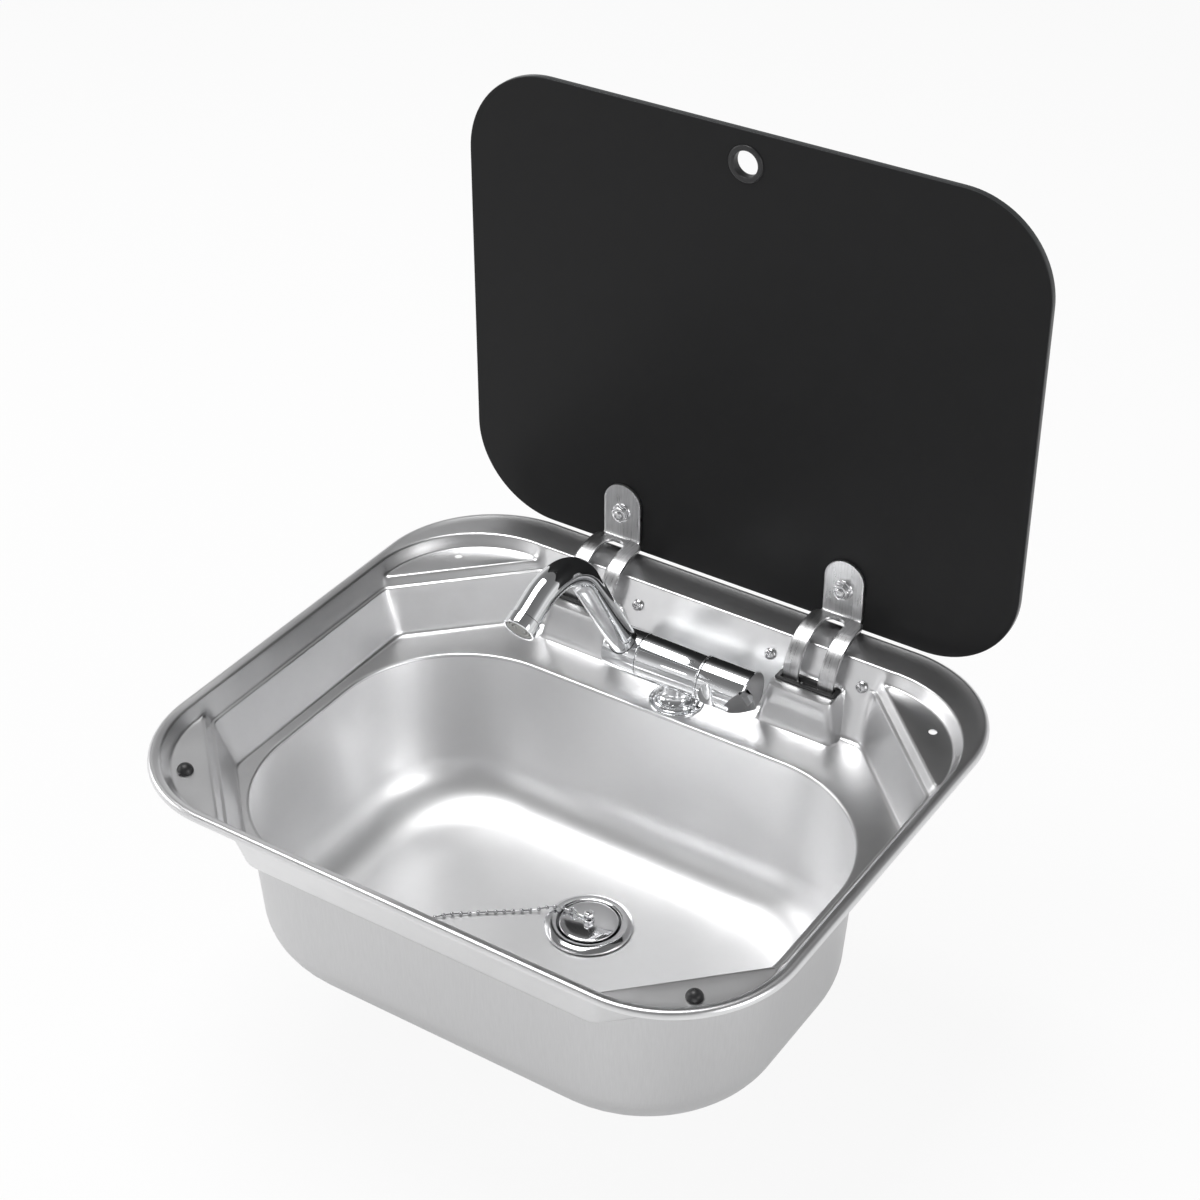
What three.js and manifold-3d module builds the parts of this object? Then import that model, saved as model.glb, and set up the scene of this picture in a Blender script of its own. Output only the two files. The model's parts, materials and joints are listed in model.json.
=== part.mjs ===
// An inset caravan sink: a pressed stainless tray and bowl, a folding cold-water tap, a waste with
// a stopper on a ball chain, and a glass lid on two gooseneck hinges.
// Millimetres. X runs to the right along the hinge line, +Y to the back, +Z up.
// The origin is the centre of the rim in the plane of the worktop that the rim lies on.
import * as THREE from "three";
import { mergeVertices } from "three/addons/utils/BufferGeometryUtils.js";
import Module from "manifold-3d";

const wasm = await Module();
wasm.setup();

// ---------------------------------------------------------------- driving dimensions

const SHEET = 0.8; // stainless sheet of the tray and the bowl
const GAP = 0.3; // clearance between neighbours that are not bolted face to face
const RUN = 0.25; // radial clearance of a shaft that turns

const RIM_WIDTH = 420;
const RIM_DEPTH = 363.4;
const RIM_CORNER = 78;
const RIM_HEIGHT = 5; // crest of the rolled rim above the worktop
const FLANGE_SIDE = 7; // flange from the outer edge to the recess, left and right
const FLANGE_FRONT = 7.2;
const FLANGE_BACK = 26.4; // wider, because the lid hangs above it
const FLANGE_DROP = 1.4; // inner edge of the flange below the crest

const RECESS_CORNER = 71;
const PAD_DEPTH = 9.3; // corner pads below the crest
const PAD_INSET = 4.6; // the recess wall leans in by this much down to the pads
const PAD_CUT = 81.9; // how much of |x| + |y - RECESS_Y| a pad takes off the recess's corner
const STEP_INSET = 9.2; // small step half way down the wall
const STEP_DEPTH = 14.6;
const STEP_CUT = 86.9;
const STEP_WIDTH = 2;
const DECK_DEPTH = 46; // flat deck round the bowl, below the crest
const DECK_SIDE = 19.5; // wall foot, measured in from the recess edge
const DECK_FRONT = 17.5;
const DECK_BACK = 22.3;
const DECK_CUT = 102.9;
const DECK_CORNER = 12;

const BOWL_WIDTH = 350; // inside the mouth
const BOWL_FROM_FRONT = 32.5; // recess edge to the bowl's mouth
const BOWL_FROM_BACK = 63.3;
const BOWL_CORNER = 85;
const BOWL_DEPTH = 109; // deck down to the inside of the floor
const BOWL_DRAFT = 0.045;
const BOWL_FILLET = 36; // between wall and floor
const BOWL_FLANGE = 4.5; // welded edge under the deck
const DRAIN_X = 6;
const DRAIN_BEHIND = 33; // behind the middle of the bowl
const DRAIN_HOLE = 22; // radius

const PAD_HOLE_SIDE = 31; // in from the edges of the recess
const PAD_HOLE_END = 30.3;
const PAD_HOLE = 2.4; // radius
const BUMPER_RADIUS = 5;
const BUMPER_HEIGHT = 5.2;

const HINGE_X = 80.5;
const PIVOT_FROM_EDGE = 15.7; // in front of the rim's back edge
const PIVOT_Z = -14.4;
const ARM_RADIUS = 27; // gooseneck, middle of the sheet
const ARM_SHEET = 2;
const ARM_WIDTH = 35; // over both legs
const ARM_GAP = 14; // between the legs
const ARM_END = 196; // degrees round the pivot where the leg turns in to the pin
const TONGUE_WIDTH = 27;
const TONGUE_TOP = 52.4; // above the worktop
const BOLT_Z = 32.5; // above the worktop
const EYE_RADIUS = 4.6;
const PIN_RADIUS = 2.5;
const PIN_HALF = 28.5;

const BOSS_TOP_Z = -15;
const BOSS_TOP_HALF = 22;
const BOSS_FOOT_HALF = 27;
const BOSS_TOP_REACH = 40; // in front of the hinge pins
const BOSS_FOOT_REACH = 44;
const SLOT_HALF = 18; // clear opening of the liner
const SLOT_DEPTH = 5;
const LINER_WALL = 0.8;
const LINER_LIP = 3;

const HOUSING_HALF = 40;
const HOUSING_CHAMBER = 21.5; // half width of the space that the legs swing in
const HOUSING_FROM_EDGE = 4.2; // in front of the rim's back edge
const HOUSING_WALL = 2.6;
const HOUSING_TOP = -2.8;
const HOUSING_BOTTOM = -46;
const POCKET_WIDTH = 12; // moulded pockets that lighten a housing
const POCKET_DEPTH = 16;
const POCKET_FRONT = 21; // in front of the hinge pin
const SCREW_SPREAD = 32; // from the middle of a hinge
const SCREW_Z = -10;
const SCREW_HEAD = 3.8;
const SCREW_SHANK = 1.75;
const SCREW_LENGTH = 10;

const LID_WIDTH = 388;
const LID_BOTTOM = 5.6; // above the worktop with the lid open
const LID_HEIGHT = 308.4;
const LID_CORNER = 58.5;
const GLASS = 4;
const LID_PAD = 0.6; // rubber between bracket and glass
const FINGER_HOLE_Z = 293.5; // above the worktop
const FINGER_HOLE = 10.2; // radius in the glass
const GROMMET_BORE = 8;
const GROMMET_FLANGE = 11.6;
const GROMMET_LIP = 1.1;
const BOLT_RADIUS = 3;
const BOLT_HEAD = 8;
const NUT_FLANGE = 6.6;
const NUT_FLATS = 5; // half the distance over the flats
const NUT_HEIGHT = 5;

const TAP_X = 4;
const TAP_BEFORE_HINGE = 55;
const TAP_Z = -15.3;
const TAP_RADIUS = 14.6;
const TAP_LEFT = -19; // seam between hub and body
const TAP_RIGHT = 25.5; // seam between body and knob
const HUB_LEFT = -43.5;
const KNOB_END = 57.5;
const KNOB_RADIUS = 15.1;
const COLLAR_WIDTH = 2.2;
const UNDER_TAB = THREE.MathUtils.degToRad(210); // from the back, over the top to the front
const NECK_RADIUS = 10.5;
const BASE_RADIUS = 17.5;
const BASE_HEIGHT = 3.4;
const SHANK_RADIUS = 9;
const SHANK_BORE = 5;
const SHANK_LENGTH = 34; // below the deck
const SPIGOT_RADIUS = 8;
const SPOUT_X = -32;
const SPOUT_RADIUS = 9.1;
const SPOUT_WALL = 1.5;
const SPOUT_RISE = 58.4; // degrees above level with the spout raised
const SPOUT_DROOP = 27.4; // degrees below level at the outlet
const SPOUT_LEG = 128; // hub axis to the corner of the bend
const SPOUT_END = 57; // corner of the bend to the outlet
const SPOUT_BEND = 38;
const SPOUT_START = 9.4; // from the hub axis
const AERATOR_RADIUS = 10;
const AERATOR_LENGTH = 8;
const CARTRIDGE_RADIUS = 9.5;
const TAP_WASHER = 1.8;
const TAP_NUT = 7;

const FLANGE_RADIUS = 28; // drain
const FLANGE_RISE = 4;
const SEAT_RADIUS = 19.5;
const STOPPER_RADIUS = 18.6;
const WASTE_RADIUS = 20.5;
const WASTE_LENGTH = 26;
const TAIL_RADIUS = 12.5;
const TAIL_LENGTH = 30;
const NUT_RADIUS = 28;
const DRAIN_SEAL = 1;
const UNDER_SEAL = 2;

const CHAIN_DIAMETER = 2.4;
const ANCHOR_FROM_CORNER = 18; // from where the bowl's corner starts to curve
const ANCHOR_Z = -82;
const ANCHOR_RISE = 5;
const ANCHOR_HEAD = 3;
const ANCHOR_FOOT = 5;

// ---------------------------------------------------------------- places worked out from them

const CREST = RIM_HEIGHT;
const PIVOT_Y = RIM_DEPTH / 2 - PIVOT_FROM_EDGE;
const HOUSING_BACK = RIM_DEPTH / 2 - HOUSING_FROM_EDGE;
const BOSS_TOP_FRONT = PIVOT_Y - BOSS_TOP_REACH;
const BOSS_FOOT_FRONT = PIVOT_Y - BOSS_FOOT_REACH;
const TAP_Y = PIVOT_Y - TAP_BEFORE_HINGE;
const RECESS = {
  half: RIM_WIDTH / 2 - FLANGE_SIDE,
  front: -RIM_DEPTH / 2 + FLANGE_FRONT,
  back: RIM_DEPTH / 2 - FLANGE_BACK,
};
const RECESS_Y = (RECESS.front + RECESS.back) / 2;
const RECESS_HALF_DEPTH = (RECESS.back - RECESS.front) / 2;
const PAD_CHAMFER = RECESS.half + RECESS_HALF_DEPTH - PAD_CUT;
const STEP_CHAMFER = RECESS.half + RECESS_HALF_DEPTH - STEP_CUT;
const DECK_CHAMFER = RECESS.half + RECESS_HALF_DEPTH - DECK_CUT;
const PAD_HOLE_X = RECESS.half - PAD_HOLE_SIDE;
const PAD_HOLE_Y = RECESS_HALF_DEPTH - PAD_HOLE_END;
const BOWL_FRONT = RECESS.front + BOWL_FROM_FRONT;
const BOWL_BACK = RECESS.back - BOWL_FROM_BACK;
const DRAIN_Y = (BOWL_FRONT + BOWL_BACK) / 2 + DRAIN_BEHIND;
const ANCHOR_X = -(BOWL_WIDTH / 2 - BOWL_CORNER - ANCHOR_FROM_CORNER);
const FLANGE_Z = CREST - FLANGE_DROP;
const PAD_Z = CREST - PAD_DEPTH;
const DECK_Z = CREST - DECK_DEPTH;
const DECK_UNDER = DECK_Z - SHEET;
const FLOOR_Z = DECK_Z - BOWL_DEPTH;
const FLOOR_UNDER = FLOOR_Z - SHEET;
const GLASS_FRONT = PIVOT_Y + 15 + LID_PAD; // inner face of the open lid
const TONGUE_BACK = GLASS_FRONT - LID_PAD;
const LID_TOP = LID_BOTTOM + LID_HEIGHT;

// ---------------------------------------------------------------- solids

function solidOf(geometry) {
  const plain = geometry.index ? geometry.toNonIndexed() : geometry.clone();
  plain.deleteAttribute("normal");
  plain.deleteAttribute("uv");
  const merged = mergeVertices(plain, 1e-4);
  return new wasm.Manifold(
    new wasm.Mesh({
      numProp: 3,
      vertProperties: new Float32Array(merged.attributes.position.array),
      triVerts: new Uint32Array(merged.index.array),
    }),
  );
}

function geometryOf(solid) {
  const mesh = solid.getMesh();
  const geometry = new THREE.BufferGeometry();
  const places = new Float32Array(mesh.numVert * 3);
  for (let i = 0; i < mesh.numVert; i++) {
    places.set(mesh.vertProperties.subarray(i * mesh.numProp, i * mesh.numProp + 3), i * 3);
  }
  geometry.setAttribute("position", new THREE.BufferAttribute(places, 3));
  geometry.setIndex(new THREE.BufferAttribute(mesh.triVerts, 1));
  return geometry;
}

const moved = (geometry, x, y, z) => geometry.clone().translate(x, y, z);

// The first geometry with the others added (sign +1) or cut away (sign -1).
function combine(first, ...steps) {
  let solid = solidOf(first);
  for (const [sign, geometry] of steps) {
    const other = solidOf(geometry);
    solid = sign > 0 ? solid.add(other) : solid.subtract(other);
  }
  return geometryOf(solid);
}

// A turned piece: [radius, height] points from top to bottom round its outline, axis along +Z.
function turned(points, segments = 16) {
  const outline = points.map(([r, z]) => new THREE.Vector2(r, z));
  const first = outline[0];
  const last = outline[outline.length - 1];
  if (first.x > 0 || last.x > 0) outline.push(first.clone());
  const geometry = new THREE.LatheGeometry(outline, segments);
  geometry.rotateX(Math.PI / 2);
  const area = outline.reduce((sum, p, i) => {
    const q = outline[(i + 1) % outline.length];
    return sum + p.x * q.y - q.x * p.y;
  }, 0);
  return area > 0 ? geometry : flipped(geometry);
}

function flipped(geometry) {
  const plain = geometry.index ? geometry.toNonIndexed() : geometry.clone();
  const p = plain.attributes.position.array;
  for (let i = 0; i < p.length; i += 9) {
    for (let k = 0; k < 3; k++) {
      const keep = p[i + 3 + k];
      p[i + 3 + k] = p[i + 6 + k];
      p[i + 6 + k] = keep;
    }
  }
  return plain;
}

// A disc or a ring with its axis along +Z, from z0 to z1.
function ring(outer, inner, z0, z1, segments = 16) {
  if (!inner) return turned([[0, z0], [outer, z0], [outer, z1], [0, z1]], segments);
  return turned([[inner, z0], [outer, z0], [outer, z1], [inner, z1]], segments);
}

const alongX = (geometry) => geometry.clone().applyMatrix4(
  new THREE.Matrix4().makeBasis(
    new THREE.Vector3(0, 1, 0), new THREE.Vector3(0, 0, 1), new THREE.Vector3(1, 0, 0),
  ),
);
const alongY = (geometry) => geometry.clone().applyMatrix4(
  new THREE.Matrix4().makeBasis(
    new THREE.Vector3(0, 0, 1), new THREE.Vector3(1, 0, 0), new THREE.Vector3(0, 1, 0),
  ),
);

function box(x0, x1, y0, y1, z0, z1) {
  return moved(
    new THREE.BoxGeometry(x1 - x0, y1 - y0, z1 - z0),
    (x0 + x1) / 2, (y0 + y1) / 2, (z0 + z1) / 2,
  );
}

// An outline in the YZ plane, extruded along X from x0 to x1.
function slab(shape, x0, x1, curveSegments = 6) {
  const geometry = new THREE.ExtrudeGeometry(shape, {
    depth: x1 - x0, bevelEnabled: false, curveSegments,
  });
  return alongX(geometry).translate(x0, 0, 0);
}

function polygon(points) {
  return new THREE.Shape(points.map(([x, y]) => new THREE.Vector2(x, y)));
}

function tube(curve, radius, steps, sides) {
  const section = new THREE.Shape(new THREE.Path().absarc(0, 0, radius, 0, 2 * Math.PI)
    .getSpacedPoints(sides).slice(0, -1));
  return new THREE.ExtrudeGeometry(section, { steps, extrudePath: curve, bevelEnabled: false });
}

// ---------------------------------------------------------------- pressed shells

// How far an outline lies from (cx, cy) in the direction of a: a rounded rectangle, cut by
// corner lines |x| + |y - RECESS_Y| = chamfer where it has them.
function reach(outline, cx, cy, a) {
  const dx = Math.cos(a);
  const dy = Math.sin(a);
  const { half, front, back, corner } = outline;
  let t = Infinity;
  if (dx) t = Math.min(t, ((dx > 0 ? half : -half) - cx) / dx);
  if (dy) t = Math.min(t, ((dy > 0 ? back : front) - cy) / dy);
  const ox = (dx > 0 ? half - corner : corner - half);
  const oy = (dy > 0 ? back - corner : front + corner);
  const x = cx + t * dx;
  const y = cy + t * dy;
  if (Math.sign(dx) * (x - ox) > 0 && Math.sign(dy) * (y - oy) > 0) {
    const b = dx * (cx - ox) + dy * (cy - oy);
    const c = (cx - ox) ** 2 + (cy - oy) ** 2 - corner ** 2;
    t = -b + Math.sqrt(Math.max(0, b * b - c));
  }
  if (outline.chamfer) {
    const along = Math.abs(dx) + Math.abs(dy);
    const start = Math.sign(dx) * cx + Math.sign(dy) * (cy - RECESS_Y);
    t = Math.min(t, (outline.chamfer - start) / along);
  }
  return t;
}

// The directions, as seen from (cx, cy), of the points that shape the corners of some outlines:
// each comes with the number of steps in which its round corners are drawn.
function bearings(outlines, cx, cy) {
  const found = [];
  for (const [{ half, front, back, corner, chamfer }, steps] of outlines) {
    for (const sx of [1, -1]) {
      for (const sy of [1, -1]) {
        const ox = sx * (half - corner);
        const oy = sy > 0 ? back - corner : front + corner;
        for (let i = 0; i <= steps && steps > 0; i++) {
          const a = (i / steps) * (Math.PI / 2);
          const x = ox + sx * corner * Math.cos(a);
          const y = oy + sy * corner * Math.sin(a);
          found.push(Math.atan2(y - cy, x - cx));
        }
        if (chamfer) {
          const edge = sy > 0 ? back : front;
          found.push(Math.atan2(sy * (chamfer - half) + RECESS_Y - cy, sx * half - cx));
          found.push(Math.atan2(edge - cy, sx * (chamfer - Math.abs(edge - RECESS_Y)) - cx));
        }
      }
    }
  }
  found.sort((a, b) => a - b);
  return found.filter((a, i) => i === 0 || a - found[i - 1] > 0.006);
}

// Rings of points joined into one closed skin that runs down the face and back up the underside.
function shell(levels, angles, cx, cy) {
  const count = angles.length;
  const places = [];
  for (const level of levels) {
    for (const a of angles) {
      const t = level.radius ?? reach(level, cx, cy, a);
      places.push(cx + t * Math.cos(a), cy + t * Math.sin(a), level.z);
    }
  }
  const faces = [];
  for (let i = 0; i < levels.length; i++) {
    const j = (i + 1) % levels.length;
    for (let k = 0; k < count; k++) {
      const m = (k + 1) % count;
      faces.push(i * count + k, i * count + m, j * count + m);
      faces.push(i * count + k, j * count + m, j * count + k);
    }
  }
  const geometry = new THREE.BufferGeometry();
  geometry.setAttribute("position", new THREE.Float32BufferAttribute(places, 3));
  geometry.setIndex(faces);
  return geometry;
}

const inset = (outline, by, z, more = {}) => ({
  half: outline.half - by,
  front: outline.front + by,
  back: outline.back - by,
  corner: Math.max(outline.corner - by, 2),
  z,
  ...more,
});

const RIM = {
  half: RIM_WIDTH / 2, front: -RIM_DEPTH / 2, back: RIM_DEPTH / 2, corner: RIM_CORNER,
};
const EDGE = { ...RECESS, corner: RECESS_CORNER };
const DECK = {
  half: RECESS.half - DECK_SIDE,
  front: RECESS.front + DECK_FRONT,
  back: RECESS.back - DECK_BACK,
  corner: DECK_CORNER,
  chamfer: DECK_CHAMFER,
};
const MOUTH = {
  half: BOWL_WIDTH / 2, front: BOWL_FRONT, back: BOWL_BACK, corner: BOWL_CORNER,
};

// An outline part of the way down the straight wall from the recess edge to the deck.
function onWall(z, extra = 0) {
  const share = (FLANGE_Z - z) / (FLANGE_Z - DECK_Z);
  const mix = (a, b) => a + (b - a) * share;
  return {
    half: mix(EDGE.half, DECK.half) - extra,
    front: mix(EDGE.front, DECK.front) + extra,
    back: mix(EDGE.back, DECK.back),
    corner: EDGE.corner - (EDGE.corner - 40) * Math.min(1, share * 1.4),
  };
}

function wallY(z) {
  return onWall(z).back;
}

// The levels of the recess where its outline changes.
function recessLevels() {
  const stepZ = CREST - STEP_DEPTH;
  const below = stepZ - 0.6;
  const pads = { ...onWall(PAD_Z, 1.1), corner: RECESS_CORNER - 2, z: PAD_Z };
  const step = { ...onWall(stepZ, 1.4), chamfer: STEP_CHAMFER, z: stepZ };
  const ledge = {
    ...onWall(below, 1.4 + STEP_WIDTH * 0.8), chamfer: STEP_CHAMFER - STEP_WIDTH * 1.4, z: below,
  };
  const around = bearings(
    [[EDGE, 4], [RIM, 3], [DECK, 0], [{ ...pads, chamfer: PAD_CHAMFER }, 0], [step, 0], [ledge, 0]],
    0, RECESS_Y,
  );
  return { pads, step, ledge, around };
}

function trayShell() {
  const { pads, step, ledge, around } = recessLevels();
  const face = [
    { ...RIM, z: 0 },
    inset(RIM, 0.3, CREST - 1.6),
    inset(RIM, 1.3, CREST - 0.4),
    inset(RIM, 2.8, CREST),
    inset(RIM, 4.4, CREST - 0.6),
    { ...EDGE, z: FLANGE_Z },
    { ...onWall(FLANGE_Z - 1.4, 0.8), corner: RECESS_CORNER - 1, z: FLANGE_Z - 1.4 },
    pads,
    { ...inset(pads, 0.4, PAD_Z), chamfer: PAD_CHAMFER },
    step,
    ledge,
    { ...DECK, z: DECK_Z },
    { ...MOUTH, z: DECK_Z },
  ];
  const back = [
    { ...MOUTH, z: DECK_UNDER },
    { ...inset(DECK, -SHEET * 0.9, DECK_UNDER), chamfer: DECK_CHAMFER + SHEET * 1.2 },
    { ...inset(ledge, -SHEET, ledge.z - SHEET), chamfer: ledge.chamfer + SHEET * 1.3 },
    { ...inset(step, -SHEET, step.z - SHEET * 0.6), chamfer: step.chamfer + SHEET * 1.4 },
    { ...inset(pads, 0.4 - SHEET, PAD_Z - SHEET), chamfer: PAD_CHAMFER + SHEET * 0.8 },
    { ...inset(pads, -SHEET, PAD_Z - SHEET) },
    inset({ ...onWall(FLANGE_Z - 1.4, 0.8), corner: RECESS_CORNER - 1 }, -SHEET, FLANGE_Z - 1.9),
    inset(EDGE, -SHEET * 0.7, FLANGE_Z - SHEET),
    inset(RIM, 4.2, CREST - 0.5 - SHEET),
    inset(RIM, 2, CREST - 1.1),
    inset(RIM, SHEET, 0),
  ];
  return shell([...face, ...back], around, 0, RECESS_Y);
}

// One pocket that stands forward from the back wall, open below and behind: grow is 0 for its
// face and minus the sheet for its inside, and past is how far it runs back beyond the wall.
function boss(x, grow, top, foot, past) {
  const points = [];
  const lean = (BOSS_FOOT_HALF - BOSS_TOP_HALF) / (BOSS_TOP_Z - DECK_Z);
  const slope = (BOSS_TOP_FRONT - BOSS_FOOT_FRONT) / (BOSS_TOP_Z - DECK_Z);
  for (const z of [foot, top]) {
    const half = BOSS_TOP_HALF + (BOSS_TOP_Z - z) * lean + grow;
    const front = BOSS_TOP_FRONT - (BOSS_TOP_Z - z) * slope - grow;
    const cut = 5;
    const backY = wallY(z) + past;
    points.push(
      [x - half, backY, z], [x - half, front + cut, z], [x - half + cut, front, z],
      [x + half - cut, front, z], [x + half, front + cut, z], [x + half, backY, z],
    );
  }
  const faces = [];
  for (let k = 0; k < 6; k++) {
    const m = (k + 1) % 6;
    faces.push(k, m, m + 6, k, m + 6, k + 6);
  }
  for (let k = 1; k < 5; k++) {
    faces.push(0, k + 1, k);
    faces.push(6, k + 6, k + 7);
  }
  const geometry = new THREE.BufferGeometry();
  geometry.setAttribute("position", new THREE.Float32BufferAttribute(points.flat(), 3));
  geometry.setIndex(faces);
  return geometry;
}

const padHoles = [];
for (const sx of [-1, 1]) {
  for (const sy of [-1, 1]) {
    padHoles.push([sx * PAD_HOLE_X, RECESS_Y + sy * PAD_HOLE_Y]);
  }
}
const LINER_HALF = SLOT_HALF + LINER_WALL;
const LINER_MID = PIVOT_Y - ARM_RADIUS;

function tray() {
  let sheet = solidOf(trayShell());
  for (const side of [-1, 1]) {
    const x = side * HINGE_X;
    const outer = solidOf(boss(x, 0, BOSS_TOP_Z, DECK_UNDER, SHEET / 2));
    const inner = solidOf(boss(x, -SHEET, BOSS_TOP_Z - SHEET, DECK_UNDER - 2, 20));
    sheet = sheet.add(outer).subtract(inner);
    const slot = box(
      x - LINER_HALF - GAP, x + LINER_HALF + GAP,
      LINER_MID - SLOT_DEPTH / 2 - LINER_WALL - GAP, LINER_MID + SLOT_DEPTH / 2 + LINER_WALL + GAP,
      BOSS_TOP_Z - 3, BOSS_TOP_Z + 3,
    );
    sheet = sheet.subtract(solidOf(slot));
    for (const sign of [-1, 1]) {
      sheet = sheet.subtract(solidOf(screwAt(x + sign * SCREW_SPREAD, SCREW_SHANK + GAP, 6, 6)));
    }
  }
  for (const [x, y] of padHoles) {
    sheet = sheet.subtract(solidOf(moved(ring(PAD_HOLE, 0, -3, 3, 12), x, y, PAD_Z)));
  }
  sheet = sheet.subtract(solidOf(moved(ring(SHANK_RADIUS + GAP, 0, -3, 3), TAP_X, TAP_Y, DECK_Z)));
  return geometryOf(sheet);
}

function bowl() {
  const drop = DECK_UNDER - FLOOR_Z;
  const straight = drop - BOWL_FILLET;
  const levels = [];
  const level = (by, z) => inset(MOUTH, by, z, { corner: Math.max(BOWL_CORNER - by * 0.6, 20) });
  const steps = 5;
  const run = (grow) => {
    const out = [level(-grow, DECK_UNDER - grow)];
    for (let i = 0; i <= steps; i++) {
      const a = (i / steps) * (Math.PI / 2);
      out.push(level(
        BOWL_DRAFT * straight + BOWL_FILLET - (BOWL_FILLET + grow) * Math.cos(a),
        FLOOR_Z + BOWL_FILLET - (BOWL_FILLET + grow) * Math.sin(a),
      ));
    }
    return out;
  };
  levels.push(...run(0));
  levels.push({ radius: DRAIN_HOLE / 3, z: FLOOR_Z }, { radius: DRAIN_HOLE / 3, z: FLOOR_UNDER });
  levels.push(...run(SHEET).reverse());
  levels.push(level(-BOWL_FLANGE, DECK_UNDER - SHEET), level(-BOWL_FLANGE, DECK_UNDER));
  const around = bearings([[MOUTH, 6]], DRAIN_X, DRAIN_Y);
  const skin = shell(levels, around, DRAIN_X, DRAIN_Y);
  const drain = drainStack(ring(DRAIN_HOLE, 0, FLOOR_UNDER - 2, FLOOR_Z + 2, 18));
  return combine(skin, [-1, drain]);
}

function bowlFrontY(z) {
  return BOWL_FRONT + BOWL_DRAFT * (DECK_UNDER - z);
}

function rimGasket() {
  const levels = [
    inset(RIM, 2, 0), inset(RIM, 2, CREST - SHEET - 1.4), inset(RIM, 5, CREST - SHEET - 1.4),
    inset(RIM, 5, 0),
  ];
  return shell(levels, recessLevels().around, 0, RECESS_Y);
}

function bumper() {
  const stem = PAD_HOLE - 0.2;
  return turned([
    [0, BUMPER_HEIGHT], [BUMPER_RADIUS * 0.5, BUMPER_HEIGHT - 0.6], [BUMPER_RADIUS * 0.86, 3.2],
    [BUMPER_RADIUS, 1.6], [BUMPER_RADIUS, 0], [stem, 0], [stem, -SHEET - 0.6],
    [PAD_HOLE + 0.9, -SHEET - 0.8], [stem, -SHEET - 3], [0, -SHEET - 3],
  ], 16);
}

// ---------------------------------------------------------------- hinges

// A round bar square to the back wall, from out in front of it to deep behind it.
function screwAt(x, radius, out, deep) {
  return againstWall(ring(radius, 0, -deep, out, 12), x);
}

// Puts a piece whose +Z axis is the wall's outward normal on the wall at a screw's place.
function againstWall(geometry, x) {
  const rise = FLANGE_Z - DECK_Z;
  const lean = Math.atan2(EDGE.back - DECK.back, rise);
  return geometry.clone().rotateX(Math.PI / 2 - lean).translate(x, wallY(SCREW_Z), SCREW_Z);
}

function hingeScrew(x) {
  const head = turned([
    [0, 2.3], [SCREW_HEAD * 0.55, 2.1], [SCREW_HEAD * 0.9, 1.3], [SCREW_HEAD, 0],
    [SCREW_SHANK, 0], [SCREW_SHANK, -SCREW_LENGTH], [0, -SCREW_LENGTH - 1.4],
  ], 12);
  const slotA = box(-2.2, 2.2, -0.45, 0.45, 1.1, 4);
  const slotB = box(-0.45, 0.45, -2.2, 2.2, 1.1, 4);
  return againstWall(combine(head, [-1, slotA], [-1, slotB]).translate(0, 0, GAP * 1.4), x);
}

function slotLiner(x) {
  const lip = box(
    x - LINER_HALF - LINER_LIP, x + LINER_HALF + LINER_LIP,
    LINER_MID - SLOT_DEPTH / 2 - LINER_LIP, LINER_MID + SLOT_DEPTH / 2 + LINER_LIP,
    BOSS_TOP_Z, BOSS_TOP_Z + 1.2,
  );
  const skirt = box(
    x - LINER_HALF, x + LINER_HALF,
    LINER_MID - SLOT_DEPTH / 2 - LINER_WALL, LINER_MID + SLOT_DEPTH / 2 + LINER_WALL,
    BOSS_TOP_Z - 2.2, BOSS_TOP_Z + 0.5,
  );
  const way = box(
    x - SLOT_HALF, x + SLOT_HALF, LINER_MID - SLOT_DEPTH / 2, LINER_MID + SLOT_DEPTH / 2,
    BOSS_TOP_Z - 9, BOSS_TOP_Z + 9,
  );
  return combine(lip, [1, skirt], [-1, way]);
}

function hingeHousing(x) {
  const faceAt = (z) => wallY(z) + SHEET * 1.15 + GAP + 0.2;
  const block = slab(polygon([
    [faceAt(HOUSING_TOP), HOUSING_TOP], [faceAt(DECK_Z + 4), DECK_Z + 4],
    [faceAt(DECK_Z + 4), HOUSING_BOTTOM], [HOUSING_BACK, HOUSING_BOTTOM],
    [HOUSING_BACK, HOUSING_TOP],
  ]), x - HOUSING_HALF, x + HOUSING_HALF);
  const chamber = box(
    x - HOUSING_CHAMBER, x + HOUSING_CHAMBER, BOSS_FOOT_FRONT, HOUSING_BACK - HOUSING_WALL,
    HOUSING_BOTTOM - 5, HOUSING_TOP - HOUSING_WALL,
  );
  const bore = alongX(ring(PIN_RADIUS + 0.1, 0, -PIN_HALF - 0.3, PIN_HALF + 0.3, 20))
    .translate(x, PIVOT_Y, PIVOT_Z);
  const pilots = [-1, 1].map((s) => [-1, screwAt(x + s * SCREW_SPREAD, SCREW_SHANK + 0.1, 6, 12)]);
  const pocketX = HOUSING_HALF - HOUSING_WALL - POCKET_WIDTH / 2;
  const lighten = [-1, 1].map((s) => [-1, box(
    x + s * pocketX - POCKET_WIDTH / 2, x + s * pocketX + POCKET_WIDTH / 2,
    PIVOT_Y - POCKET_FRONT, HOUSING_BACK - HOUSING_WALL,
    HOUSING_BOTTOM - 1, HOUSING_BOTTOM + POCKET_DEPTH,
  )]);
  return combine(block, [-1, chamber], [-1, bore], ...pilots, ...lighten);
}

function hingePin(x) {
  return alongX(ring(PIN_RADIUS, 0, -PIN_HALF, PIN_HALF, 20)).translate(x, PIVOT_Y, PIVOT_Z);
}

// ---------------------------------------------------------------- lid, open

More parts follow.
